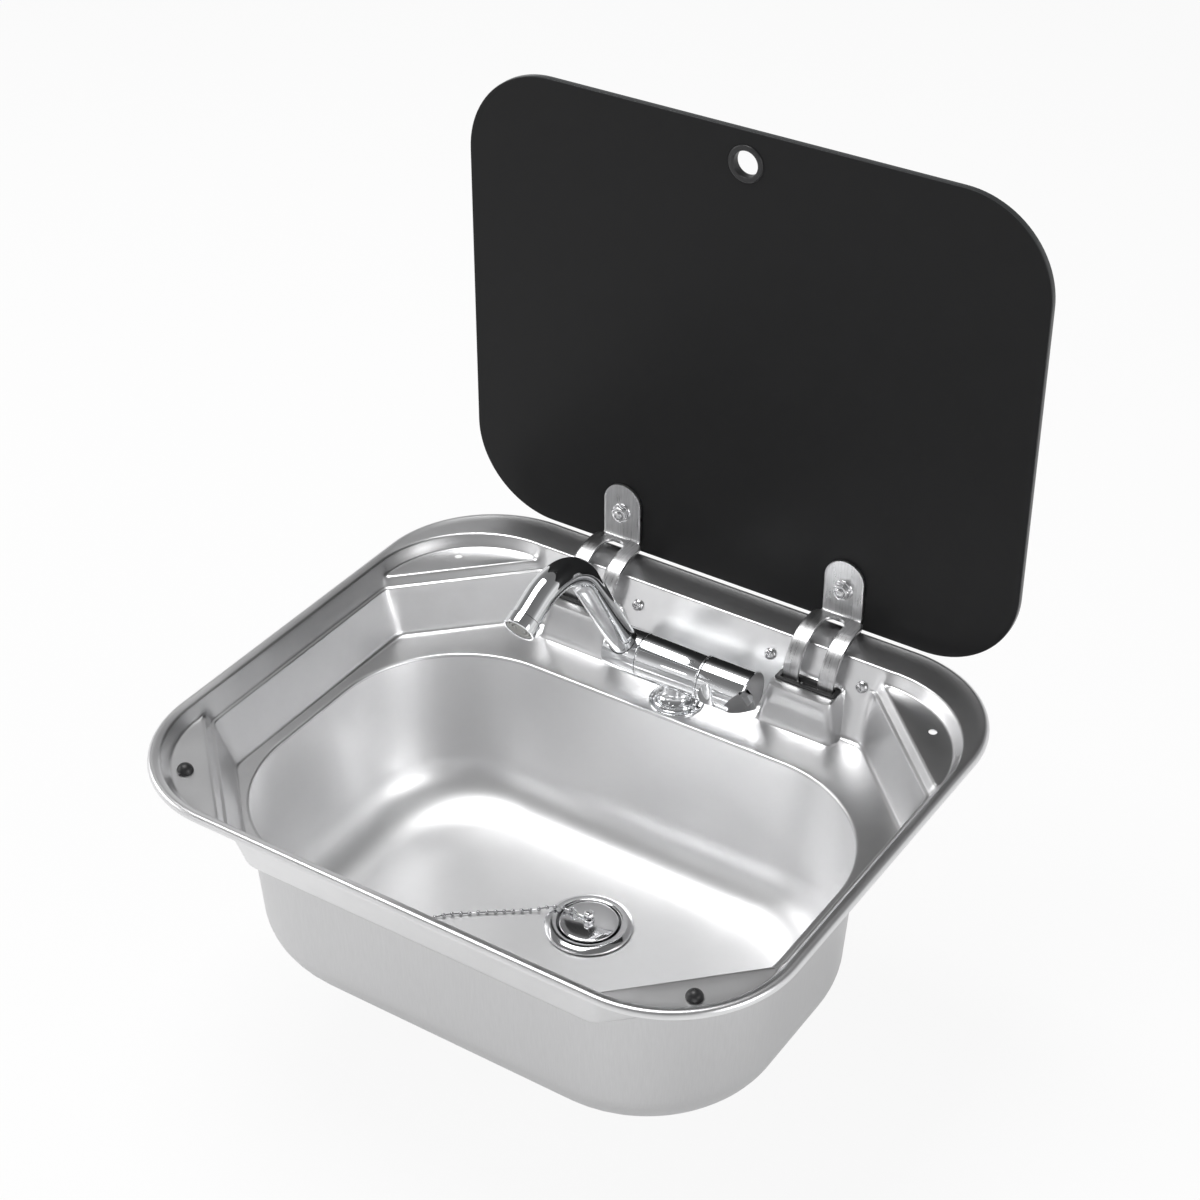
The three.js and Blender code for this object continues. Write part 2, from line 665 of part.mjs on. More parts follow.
function lidBracket(x) {
  const outer = ARM_RADIUS + ARM_SHEET / 2;
  const inner = ARM_RADIUS - ARM_SHEET / 2;
  const front = TONGUE_BACK - ARM_SHEET - PIVOT_Y;
  const back = TONGUE_BACK - PIVOT_Y;
  const top = TONGUE_TOP - PIVOT_Z;
  const past = 2 * ARM_RADIUS + top; // clear of the bracket on every side
  const end = THREE.MathUtils.degToRad(ARM_END);
  const outline = new THREE.Shape();
  outline.moveTo(front - 0.8, outer);
  outline.lineTo(front, outer + 0.8);
  outline.lineTo(front, top);
  outline.lineTo(back, top);
  outline.lineTo(back, inner + 2.8);
  outline.lineTo(back - 0.8, inner + 0.8);
  outline.lineTo(back - 2.8, inner);
  outline.lineTo(0, inner);
  outline.absarc(0, 0, inner, Math.PI / 2, end, false);
  outline.absarc(0, 0, outer, end, Math.PI / 2, true);
  const half = ARM_WIDTH / 2;
  let sheet = solidOf(slab(outline, -half, half, 8));

  // The tongue is narrower than the legs and round at its top.
  const tongueHalf = TONGUE_WIDTH / 2;
  const keep = new THREE.Shape();
  keep.moveTo(-half - 1, -past);
  keep.lineTo(half + 1, -past);
  keep.lineTo(half + 1, outer + 0.4);
  keep.lineTo(tongueHalf, outer + 0.4);
  keep.lineTo(tongueHalf, top - tongueHalf);
  keep.absarc(0, top - tongueHalf, tongueHalf, 0, Math.PI, false);
  keep.lineTo(-tongueHalf, outer + 0.4);
  keep.lineTo(-half - 1, outer + 0.4);
  const column = new THREE.ExtrudeGeometry(keep, {
    depth: 2 * past, bevelEnabled: false, curveSegments: 10,
  }).rotateX(Math.PI / 2).translate(0, past, 0);
  sheet = sheet.intersect(solidOf(column));

  // Seen from above, the corners beside the fold are round and the legs part in an arch.
  const plan = new THREE.Shape();
  plan.moveTo(-half - 2, -past);
  plan.lineTo(-half, -past);
  plan.lineTo(-half, back - 7);
  plan.absarc(-half + 7, back - 7, 7, Math.PI, Math.PI / 2, true);
  plan.lineTo(half - 7, back);
  plan.absarc(half - 7, back - 7, 7, Math.PI / 2, 0, true);
  plan.lineTo(half, -past);
  plan.lineTo(half + 2, -past);
  plan.lineTo(half + 2, back + 2);
  plan.lineTo(-half - 2, back + 2);
  const corners = new THREE.ExtrudeGeometry(plan, {
    depth: 2 * outer + 4, bevelEnabled: false, curveSegments: 4,
  }).translate(0, 0, 2 - outer);
  sheet = sheet.subtract(solidOf(corners));
  const parting = new THREE.Shape();
  const arch = 2;
  parting.moveTo(-ARM_GAP / 2, -past);
  parting.lineTo(ARM_GAP / 2, -past);
  parting.lineTo(ARM_GAP / 2, arch);
  parting.absarc(0, arch, ARM_GAP / 2, 0, Math.PI, false);
  const gap = new THREE.ExtrudeGeometry(parting, {
    depth: 2 * past, bevelEnabled: false, curveSegments: 6,
  }).translate(0, 0, -past);
  sheet = sheet.subtract(solidOf(gap));

  // Each leg turns in to an eye on the pin.
  for (const side of [-1, 1]) {
    const x0 = side > 0 ? ARM_GAP / 2 : -half;
    const x1 = side > 0 ? half : -ARM_GAP / 2;
    const web = slab(polygon([[-2, -1.5], [-2, 1.5], [-inner - 1, 1.5], [-inner - 1, -1.5]]), x0, x1);
    web.rotateX(THREE.MathUtils.degToRad(ARM_END - 180) - 1.5 / outer);
    const eye = alongX(ring(EYE_RADIUS, 0, x0, x1, 20));
    sheet = sheet.add(solidOf(web)).add(solidOf(eye));
  }
  const bore = alongX(ring(PIN_RADIUS + RUN, 0, -past, past, 20));
  const bolt = alongY(ring(BOLT_RADIUS + GAP, 0, -past, past, 16)).translate(0, 0, BOLT_Z - PIVOT_Z);
  sheet = sheet.subtract(solidOf(bore)).subtract(solidOf(bolt));
  return geometryOf(sheet).translate(x, PIVOT_Y, PIVOT_Z);
}

function lidGlass() {
  const half = LID_WIDTH / 2;
  const shape = new THREE.Shape();
  shape.moveTo(-half + LID_CORNER, LID_BOTTOM);
  shape.absarc(half - LID_CORNER, LID_BOTTOM + LID_CORNER, LID_CORNER, -Math.PI / 2, 0, false);
  shape.absarc(half - LID_CORNER, LID_TOP - LID_CORNER, LID_CORNER, 0, Math.PI / 2, false);
  shape.absarc(-half + LID_CORNER, LID_TOP - LID_CORNER, LID_CORNER, Math.PI / 2, Math.PI, false);
  shape.absarc(-half + LID_CORNER, LID_BOTTOM + LID_CORNER, LID_CORNER, Math.PI, 1.5 * Math.PI, false);
  const hole = (x, z, r) => shape.holes.push(new THREE.Path().absarc(x, z, r, 0, 2 * Math.PI, true));
  hole(0, FINGER_HOLE_Z, FINGER_HOLE);
  hole(-HINGE_X, BOLT_Z, BOLT_RADIUS + 1);
  hole(HINGE_X, BOLT_Z, BOLT_RADIUS + 1);
  const bevel = 0.6;
  const plate = new THREE.ExtrudeGeometry(shape, {
    depth: GLASS - 2 * bevel, bevelEnabled: true, bevelSize: bevel, bevelThickness: bevel,
    bevelOffset: -bevel, bevelSegments: 1, curveSegments: 7,
  });
  // The shape's up becomes +Z, and its depth runs to the front from the back face.
  return plate.rotateX(Math.PI / 2).translate(0, GLASS_FRONT + GLASS - bevel, 0);
}

function facingFront(geometry, x, y, z) {
  // A piece turned about +Z, with +Z now pointing to the front.
  return geometry.clone().rotateX(Math.PI / 2).translate(x, y, z);
}

function fingerGrommet() {
  const middle = GLASS / 2;
  const hole = FINGER_HOLE - 0.25;
  return facingFront(turned([
    [GROMMET_BORE, middle + GROMMET_LIP * 0.4], [GROMMET_BORE + 1, middle + GROMMET_LIP],
    [GROMMET_FLANGE - 0.8, middle + GROMMET_LIP], [GROMMET_FLANGE, middle + 0.05],
    [hole, middle + 0.05], [hole, -middle - 0.05], [GROMMET_FLANGE, -middle - 0.05],
    [GROMMET_FLANGE - 0.8, -middle - GROMMET_LIP], [GROMMET_BORE + 1, -middle - GROMMET_LIP],
    [GROMMET_BORE, -middle - GROMMET_LIP * 0.4],
  ], 20), 0, GLASS_FRONT + middle, FINGER_HOLE_Z);
}

function lidPad(x) {
  const half = TONGUE_WIDTH / 2 - 0.5;
  const shape = new THREE.Shape();
  shape.moveTo(-half, BOLT_Z - 12);
  shape.lineTo(half, BOLT_Z - 12);
  shape.lineTo(half, TONGUE_TOP - 0.5 - half);
  shape.absarc(0, TONGUE_TOP - 0.5 - half, half, 0, Math.PI, false);
  shape.holes.push(new THREE.Path().absarc(0, BOLT_Z, BOLT_RADIUS + GAP, 0, 2 * Math.PI, true));
  return new THREE.ExtrudeGeometry(shape, { depth: LID_PAD, bevelEnabled: false, curveSegments: 6 })
    .rotateX(Math.PI / 2).translate(x, GLASS_FRONT, 0);
}

// A domed bolt from behind the glass, whose end stands out of the nut in front.
function lidBolt(x) {
  const seat = -GLASS - 1;
  const tip = LID_PAD + ARM_SHEET + NUT_HEIGHT + 2.2;
  return facingFront(turned([
    [0, tip], [BOLT_RADIUS - 0.6, tip], [BOLT_RADIUS, tip - 0.6], [BOLT_RADIUS, seat],
    [BOLT_HEAD, seat], [BOLT_HEAD - 0.4, seat - 1], [BOLT_HEAD * 0.6, seat - 2.4], [0, seat - 2.9],
  ], 20), x, GLASS_FRONT, BOLT_Z);
}

function boltWasher(x) {
  const washer = ring(BOLT_HEAD + 0.8, BOLT_RADIUS + GAP, -GLASS - 1, -GLASS, 20);
  return facingFront(washer, x, GLASS_FRONT, BOLT_Z);
}

function lidNut(x) {
  const face = LID_PAD + ARM_SHEET;
  const corner = NUT_FLATS / Math.cos(Math.PI / 6);
  const hexagon = turned([
    [0, face + NUT_HEIGHT], [corner - 0.5, face + NUT_HEIGHT], [corner, face + NUT_HEIGHT - 0.6],
    [corner, face + 0.4], [0, face + 0.4],
  ], 6);
  const flange = ring(NUT_FLANGE, 0, face, face + 1.2, 18);
  const bore = ring(BOLT_RADIUS + 0.12, 0, -40, 40, 20);
  return facingFront(combine(hexagon, [1, flange], [-1, bore]), x, GLASS_FRONT, BOLT_Z);
}

// ---------------------------------------------------------------- tap

const barrel = (geometry) => alongX(geometry).translate(0, TAP_Y, TAP_Z);

function tapBody() {
  const cylinder = barrel(turned([
    [0, TAP_RIGHT], [TAP_RADIUS - 0.5, TAP_RIGHT], [TAP_RADIUS, TAP_RIGHT - 0.5],
    [TAP_RADIUS, TAP_LEFT + 0.5], [TAP_RADIUS - 0.5, TAP_LEFT],
    [SPIGOT_RADIUS, TAP_LEFT], [SPIGOT_RADIUS, HUB_LEFT + 5], [0, HUB_LEFT + 5],
  ], 20));
  const neckTop = TAP_Z - TAP_RADIUS * 0.4;
  const neckFoot = DECK_Z + BASE_HEIGHT + GAP;
  const neck = moved(turned([
    [0, neckTop], [NECK_RADIUS * 0.86, neckTop], [NECK_RADIUS * 0.86, neckFoot + 6],
    [NECK_RADIUS, neckFoot + 3], [NECK_RADIUS + 2.2, neckFoot], [0, neckFoot],
  ], 18), TAP_X, TAP_Y, 0);
  // Water comes up the neck, through the valve on the right and out of ports in the spigot.
  const valve = barrel(ring(CARTRIDGE_RADIUS + 0.15, 0, TAP_X - 6, TAP_RIGHT + 5, 24));
  const through = barrel(ring(SPIGOT_RADIUS - 2.5, 0, HUB_LEFT + 8, TAP_X, 20));
  const port = box(
    SPOUT_X - 4, SPOUT_X + 4, TAP_Y - 2 * TAP_RADIUS, TAP_Y, TAP_Z - 3, TAP_Z + 3,
  );
  const riser = moved(ring(SHANK_RADIUS - 2.2, 0, DECK_Z - 5, TAP_Z - 2, 20), TAP_X, TAP_Y, 0);
  return combine(cylinder, [1, neck], [-1, valve], [-1, through], [-1, port], [-1, riser]);
}

function tapCartridge() {
  return barrel(turned([
    [0, TAP_RIGHT - 0.6], [CARTRIDGE_RADIUS, TAP_RIGHT - 0.6], [CARTRIDGE_RADIUS, TAP_RIGHT - 12],
    [CARTRIDGE_RADIUS - 3, TAP_RIGHT - 12], [CARTRIDGE_RADIUS - 3, TAP_RIGHT - 15],
    [0, TAP_RIGHT - 15],
  ], 20));
}

function knobSpindle() {
  return barrel(turned([
    [0, TAP_RIGHT + 11], [3.4, TAP_RIGHT + 11], [3.4, TAP_RIGHT - 0.3], [0, TAP_RIGHT - 0.3],
  ], 16));
}

// A hollow across the front of the knob: a cylinder that lies square to the knob's axis.
function hollow(radius, degrees, x, reach) {
  const angle = THREE.MathUtils.degToRad(degrees);
  return new THREE.CylinderGeometry(radius, radius, 60, 32).rotateX(angle + Math.PI / 2)
    .translate(x, TAP_Y + reach * Math.cos(angle), TAP_Z + reach * Math.sin(angle));
}

// Its front is hollowed at the end, behind the collar and below, which leaves a tab for a thumb.
function tapKnob() {
  const start = TAP_RIGHT + GAP;
  const round = barrel(turned([
    [0, KNOB_END], [KNOB_RADIUS - 0.8, KNOB_END], [KNOB_RADIUS, KNOB_END - 0.8],
    [KNOB_RADIUS, start + 0.5], [KNOB_RADIUS - 0.5, start], [0, start],
  ], 20));
  const end = hollow(18, 215, KNOB_END + 6.5, KNOB_RADIUS + 4.9);
  const collar = hollow(5.5, 195, start + COLLAR_WIDTH + 5.5, KNOB_RADIUS + 1.4);
  const below = alongX(ring(9, 0, start + COLLAR_WIDTH + 5.5, KNOB_END + 5, 28))
    .translate(0, TAP_Y + (KNOB_RADIUS + 7.1) * Math.cos(UNDER_TAB),
      TAP_Z + (KNOB_RADIUS + 7.1) * Math.sin(UNDER_TAB));
  const spindle = barrel(ring(3.55, 0, start - 5, TAP_RIGHT + 11.3, 16));
  return combine(round, [-1, end], [-1, collar], [-1, below], [-1, spindle]);
}

function spoutHub() {
  const right = TAP_LEFT - GAP;
  const round = barrel(turned([
    [0, right], [TAP_RADIUS - 0.5, right], [TAP_RADIUS, right - 0.5],
    [TAP_RADIUS, HUB_LEFT + 1.6], [TAP_RADIUS - 1.6, HUB_LEFT], [0, HUB_LEFT],
  ], 20));
  const inside = barrel(ring(SPIGOT_RADIUS + RUN, 0, HUB_LEFT + 4.5, right + 5, 24));
  const socket = alongSpout(ring(SPOUT_RADIUS + GAP, 0, 0, 40, 24));
  return combine(round, [-1, inside], [-1, socket]);
}

// Puts a piece whose axis is +Z on the first leg of the raised spout, from the hub axis.
function alongSpout(geometry) {
  return geometry.clone()
    .rotateX(THREE.MathUtils.degToRad(90 - SPOUT_RISE))
    .translate(SPOUT_X, TAP_Y, TAP_Z);
}

const rise = THREE.MathUtils.degToRad(SPOUT_RISE);
const droop = THREE.MathUtils.degToRad(SPOUT_DROOP);
const up = new THREE.Vector3(0, -Math.cos(rise), Math.sin(rise));
const down = new THREE.Vector3(0, -Math.cos(droop), -Math.sin(droop));
const hubAxis = new THREE.Vector3(SPOUT_X, TAP_Y, TAP_Z);
const bendCorner = hubAxis.clone().addScaledVector(up, SPOUT_LEG);
const outlet = bendCorner.clone().addScaledVector(down, SPOUT_END);
const bendCut = SPOUT_BEND * Math.tan((rise + droop) / 2);

// The middle line of the spout: a leg up from the hub, a bend and a short leg to the outlet.
class SpoutLine extends THREE.Curve {
  getPoint(t) {
    const first = SPOUT_LEG - bendCut - SPOUT_START;
    const arc = SPOUT_BEND * (rise + droop);
    const last = SPOUT_END - bendCut - AERATOR_LENGTH * 0.5;
    const s = t * (first + arc + last);
    if (s <= first) return hubAxis.clone().addScaledVector(up, SPOUT_START + s);
    const into = bendCorner.clone().addScaledVector(up, -bendCut);
    if (s <= first + arc) {
      const a = (s - first) / SPOUT_BEND;
      const side = new THREE.Vector3(0, -Math.sin(rise), -Math.cos(rise));
      return into.addScaledVector(up, SPOUT_BEND * Math.sin(a))
        .addScaledVector(side, SPOUT_BEND * (1 - Math.cos(a)));
    }
    return bendCorner.clone().addScaledVector(down, bendCut + s - first - arc);
  }
}

function spoutTube() {
  const sides = 14;
  const round = (r, clockwise) => new THREE.Path()
    .absarc(0, 0, r, 0, clockwise ? -2 * Math.PI : 2 * Math.PI, clockwise)
    .getSpacedPoints(sides).slice(0, -1);
  const section = new THREE.Shape(round(SPOUT_RADIUS, false));
  section.holes.push(new THREE.Path(round(SPOUT_RADIUS - SPOUT_WALL, true)));
  return new THREE.ExtrudeGeometry(section, {
    steps: 16, extrudePath: new SpoutLine(), bevelEnabled: false,
  });
}

// Puts a piece whose +Z axis points out of the spout on the outlet.
function atOutlet(geometry) {
  return geometry.clone()
    .rotateX(Math.PI / 2 + droop)
    .translate(outlet.x, outlet.y, outlet.z);
}

function aeratorHousing() {
  const back = -AERATOR_LENGTH;
  const lead = AERATOR_LENGTH * 0.5;
  return atOutlet(turned([
    [AERATOR_RADIUS - 1.4, 0], [AERATOR_RADIUS - 0.4, 0], [AERATOR_RADIUS, -0.6],
    [AERATOR_RADIUS, back], [SPOUT_RADIUS + 0.2, back], [SPOUT_RADIUS + 0.2, -lead + 0.2],
    [AERATOR_RADIUS - 1.4, -lead + 0.2],
  ], 20));
}

function aeratorInsert() {
  const r = AERATOR_RADIUS - 1.6;
  return atOutlet(combine(
    turned([[0, -0.9], [r, -0.9], [r, -3.6], [0, -3.6]], 20),
    [-1, box(-4.6, 4.6, -0.5, 0.5, -9, 9)], [-1, box(-0.5, 0.5, -4.6, 4.6, -9, 9)],
  ));
}

const tapStack = (geometry) => moved(geometry, TAP_X, TAP_Y, 0);

function tapBaseRing() {
  return tapStack(turned([
    [SHANK_RADIUS + GAP, DECK_Z + BASE_HEIGHT], [BASE_RADIUS - 4, DECK_Z + BASE_HEIGHT],
    [BASE_RADIUS - 1, DECK_Z + BASE_HEIGHT * 0.55], [BASE_RADIUS, DECK_Z + 0.8],
    [BASE_RADIUS, DECK_Z], [SHANK_RADIUS + GAP, DECK_Z],
  ], 20));
}

function tapShank() {
  const foot = DECK_UNDER - SHANK_LENGTH;
  const top = DECK_Z + BASE_HEIGHT;
  return tapStack(ring(SHANK_RADIUS, SHANK_BORE, foot, top, 24));
}

function tapWasher() {
  const top = DECK_UNDER;
  return tapStack(ring(13.4, SHANK_RADIUS + 0.2, top - TAP_WASHER, top, 24));
}

function tapLockNut() {
  const top = DECK_UNDER - TAP_WASHER;
  return tapStack(combine(
    ring(13.2, 0, top - TAP_NUT, top, 6),
    [-1, ring(SHANK_RADIUS + 0.15, 0, top - 20, top + 5, 24)],
  ));
}

function tapHoseTail() {
  const foot = DECK_UNDER - SHANK_LENGTH;
  return tapStack(turned([
    [2.6, foot], [SHANK_RADIUS, foot], [SHANK_RADIUS, foot - 3], [5.4, foot - 3.4],
    [5.4, foot - 8], [6, foot - 8.4], [5.2, foot - 12], [6, foot - 12.4], [5.2, foot - 17],
    [4.6, foot - 20], [2.6, foot - 20],
  ], 14));
}

// ---------------------------------------------------------------- waste

const drainStack = (geometry) => moved(geometry, DRAIN_X, DRAIN_Y, 0);
const CUP_RADIUS = DRAIN_HOLE - 0.6;
const CUP_FOOT = FLOOR_UNDER - 6;

function drainFlange() {
  const under = FLOOR_Z + DRAIN_SEAL;
  const top = FLOOR_Z + FLANGE_RISE;
  return drainStack(turned([
    [SEAT_RADIUS + 0.6, top - 0.4], [SEAT_RADIUS + 1.6, top], [SEAT_RADIUS + 4.6, top],
    [FLANGE_RADIUS - 0.8, under + 1.2], [FLANGE_RADIUS, under + 0.6], [FLANGE_RADIUS, under],
    [CUP_RADIUS, under], [CUP_RADIUS, CUP_FOOT], [9, CUP_FOOT], [9, CUP_FOOT + 1.5],
    [SEAT_RADIUS - 2, CUP_FOOT + 1.5], [SEAT_RADIUS + 0.3, under],
  ], 18));
}

function drainSeal() {
  return drainStack(ring(FLANGE_RADIUS - 1, CUP_RADIUS + GAP, FLOOR_Z, FLOOR_Z + DRAIN_SEAL, 18));
}

function drainUnderSeal() {
  const hole = WASTE_RADIUS + GAP + 1.5;
  return drainStack(ring(NUT_RADIUS - 1, hole, FLOOR_UNDER - UNDER_SEAL, FLOOR_UNDER, 18));
}

// A cup screwed up to the flange from below; the nut on it clamps the floor of the bowl.
function wasteBody() {
  const top = CUP_FOOT - GAP;
  const foot = top - WASTE_LENGTH;
  return drainStack(turned([
    [WASTE_RADIUS - 2, top], [WASTE_RADIUS, top], [WASTE_RADIUS, foot + 6],
    [TAIL_RADIUS + 4.5, foot], [TAIL_RADIUS + 2, foot - 9], [TAIL_RADIUS + 0.4, foot - 9],
    [TAIL_RADIUS + 0.4, foot + 2], [WASTE_RADIUS - 2, foot + 8],
  ], 20));
}

function wasteLockNut() {
  const top = FLOOR_UNDER - UNDER_SEAL;
  return drainStack(combine(
    turned([[0, top], [NUT_RADIUS, top], [NUT_RADIUS, top - 8], [0, top - 8]], 8),
    [-1, ring(CUP_RADIUS + 0.3, 0, top - 20, top + 5, 18)],
  ));
}

function wasteTail() {
  const top = CUP_FOOT - GAP - WASTE_LENGTH + 1;
  const foot = top - 9 - TAIL_LENGTH;
  return drainStack(turned([
    [TAIL_RADIUS - 2, top], [TAIL_RADIUS, top], [TAIL_RADIUS, foot + 12],
    [TAIL_RADIUS + 0.8, foot + 11.5], [TAIL_RADIUS - 0.2, foot + 6.5],
    [TAIL_RADIUS + 0.8, foot + 6], [TAIL_RADIUS - 0.6, foot], [TAIL_RADIUS - 2, foot],
  ], 18));
}

// ---------------------------------------------------------------- stopper and chain

const STOPPER_TOP = FLOOR_Z + FLANGE_RISE + 0.4;

function stopperCap() {
  const under = STOPPER_TOP - 2.4;
  const disc = turned([
    [0, STOPPER_TOP + 0.9], [STOPPER_RADIUS * 0.5, STOPPER_TOP + 0.7],
    [STOPPER_RADIUS - 1.2, STOPPER_TOP + 0.1], [STOPPER_RADIUS, STOPPER_TOP - 0.6],
    [STOPPER_RADIUS, under], [0, under],
  ], 20);
  const post = turned([
    [0, STOPPER_TOP + 7.4], [2.6, STOPPER_TOP + 7.4], [3.6, STOPPER_TOP + 6.2],
    [3.6, STOPPER_TOP + 3.6], [2, STOPPER_TOP + 2.4], [2, STOPPER_TOP], [0, STOPPER_TOP],
  ], 8);
  return drainStack(combine(disc, [1, post]));
}

// A wire link round the post's waist that the chain is hooked to.
function stopperLink() {
  const z = STOPPER_TOP + 1.9;
  const shape = new THREE.Shape().absarc(0, 0, 4.2, 0, 2 * Math.PI, false);
  shape.holes.push(new THREE.Path().absarc(0, 0, 2.5, 0, 2 * Math.PI, true));
  const loop = new THREE.ExtrudeGeometry(shape, { depth: 0.9, bevelEnabled: false, curveSegments: 8 })
    .translate(0, 0, z - 0.6);
  const arm = box(-13, -3.6, -0.7, 0.7, z - 0.6, z + 0.3);
  const eye = box(-13, -10.2, -1.4, 1.4, z - 0.6, z + 1.6);
  return drainStack(combine(loop, [1, arm], [1, eye]));
}

function stopperSeal() {
  const top = STOPPER_TOP - 2.4;
  return drainStack(turned([
    [0, top], [SEAT_RADIUS - 2, top], [SEAT_RADIUS - 2.6, top - 2.4], [SEAT_RADIUS - 6, top - 3.4],
    [0, top - 3.4],
  ], 20));
}

// The chain's route: from the link over the drain's rim, along the floor of the bowl to the
// left and to the front, and up the front wall to its anchor.
const chainPoints = [
  [-7.3, 8, -143.4], [-12, 7.4, -143.6], [-18, 6, -144.1], [-23.5, 4, -146], [-29, 1, -148],
  [-37, -5, -148.5], [-49, -14, -148.5], [-62, -24, -148.5], [-74, -34, -148.5],
  [-81, -46, -148.5], [-83, -60, -148.5], [-81, -75, -148.5], [-77, -90, -148.5],
  [-74.5, -104, -148], [-73.2, -115.5, -145.5], [-72.4, -126.4, -138.5], [-72, -134.3, -126.7],
  [-72, -137, -110], [-72, -137.5, -98], [-72, -138, -87.2],
];

function stopperChain() {
  const line = new THREE.CatmullRomCurve3(chainPoints.map((p) => new THREE.Vector3(...p)));
  return tube(line, CHAIN_DIAMETER / 2, 40, 8);
}

// A button with a waist, welded to the front wall of the bowl, that the chain's last link holds.
function chainAnchor() {
  const button = alongY(turned([
    [0, ANCHOR_RISE], [ANCHOR_HEAD * 0.6, ANCHOR_RISE], [ANCHOR_HEAD, ANCHOR_RISE - 1.1],
    [ANCHOR_HEAD, ANCHOR_RISE - 2.2], [ANCHOR_HEAD * 0.6, ANCHOR_RISE - 3],
    [ANCHOR_HEAD * 0.6, 1.2], [ANCHOR_FOOT, 0.5], [ANCHOR_FOOT, 0], [0, 0],
  ], 16));
  return moved(button.rotateX(Math.atan(BOWL_DRAFT)), ANCHOR_X, bowlFrontY(ANCHOR_Z), ANCHOR_Z);
}

// ---------------------------------------------------------------- finishes

const finish = (color, roughness, metalness) => new THREE.MeshStandardMaterial({
  color, roughness, metalness,
});
const satin = () => finish(0xb8b9ba, 0.36, 1);
const bright = () => finish(0xd6d7d9, 0.08, 1);
const plated = () => finish(0xbfc0c2, 0.28, 1);
const black = () => finish(0x161617, 0.55, 0);
const rubber = () => finish(0x1d1d1e, 0.85, 0);
const smoked = () => finish(0x1c1c1d, 0.06, 0);
const whitePlastic = () => finish(0xd9d9d6, 0.5, 0);

function node(name, geometry, material) {
  const mesh = new THREE.Mesh(geometry, material);
  mesh.name = name;
  return mesh;
}

function group(...children) {
  const made = new THREE.Group();
  made.add(...children);
  return made;
}

// ---------------------------------------------------------------- the object

const basin = group(
  node("tray", tray(), satin()),
  node("bowl", bowl(), satin()),
  node("rim_gasket", rimGasket(), rubber()),
);
for (const [x, y] of padHoles.filter(([, y]) => y < 0)) {
  const name = x < 0 ? "lid_bumper_left" : "lid_bumper_right";
  basin.add(node(name, moved(bumper(), x, y, PAD_Z), rubber()));
}

const hinges = new THREE.Group();
const lid = new THREE.Group();
for (const [side, name] of [[-1, "left"], [1, "right"]]) {
  const x = side * HINGE_X;
  hinges.add(
    node(`slot_liner_${name}`, slotLiner(x), black()),
    node(`hinge_housing_${name}`, hingeHousing(x), black()),
    node(`hinge_pin_${name}`, hingePin(x), plated()),
    node(`hinge_screw_${name}_outer`, hingeScrew(x + side * SCREW_SPREAD), plated()),
    node(`hinge_screw_${name}_inner`, hingeScrew(x - side * SCREW_SPREAD), plated()),
  );
  lid.add(
    node(`lid_bracket_${name}`, lidBracket(x), satin()),
    node(`lid_pad_${name}`, lidPad(x), rubber()),
    node(`lid_bolt_${name}`, lidBolt(x), plated()),
    node(`lid_washer_${name}`, boltWasher(x), rubber()),
    node(`lid_nut_${name}`, lidNut(x), plated()),
  );
}
lid.add(
  node("lid_glass", lidGlass(), smoked()),
  node("finger_grommet", fingerGrommet(), rubber()),
);

const tap = group(
  node("tap_body", tapBody(), bright()),
  node("tap_cartridge", tapCartridge(), plated()),
  node("tap_base_ring", tapBaseRing(), bright()),
  node("tap_shank", tapShank(), plated()),
  node("tap_washer", tapWasher(), rubber()),
  node("tap_lock_nut", tapLockNut(), plated()),
  node("tap_hose_tail", tapHoseTail(), plated()),
);
const spout = group(
  node("spout_hub", spoutHub(), bright()),
  node("spout_tube", spoutTube(), bright()),
  node("aerator_housing", aeratorHousing(), bright()),
  node("aerator_insert", aeratorInsert(), whitePlastic()),
);
const knob = group(
  node("tap_knob", tapKnob(), bright()),
  node("knob_spindle", knobSpindle(), plated()),
);

const waste = group(
  node("drain_flange", drainFlange(), bright()),
  node("drain_seal", drainSeal(), rubber()),
  node("drain_under_seal", drainUnderSeal(), rubber()),
  node("waste_body", wasteBody(), black()),
  node("waste_lock_nut", wasteLockNut(), black()),
  node("waste_tail", wasteTail(), black()),
  node("chain_anchor", chainAnchor(), bright()),
  node("stopper_chain", stopperChain(), bright()),
);
const stopper = group(
  node("stopper_cap", stopperCap(), bright()),
  node("stopper_link", stopperLink(), bright()),
  node("stopper_seal", stopperSeal(), rubber()),
);

export default group(basin, hinges, lid, tap, spout, knob, waste, stopper);
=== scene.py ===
# %% [markdown]
# # An inset sink with a folding glass lid
# The CAD model of the sink arrives as a fixed frame of named parts. This lesson dresses it: thin
# pressed steel, a chromed folding tap, a black glass lid and a ball chain, part by part.
# Everything is in metres in the frame of the CAD model: +X runs to the right along the hinges,
# +Y to the back, and the worktop that the rim lies on is at z = 0.

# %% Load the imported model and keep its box
import json
import math

import bmesh
import bpy
import numpy as np
from mathutils import Matrix, Vector


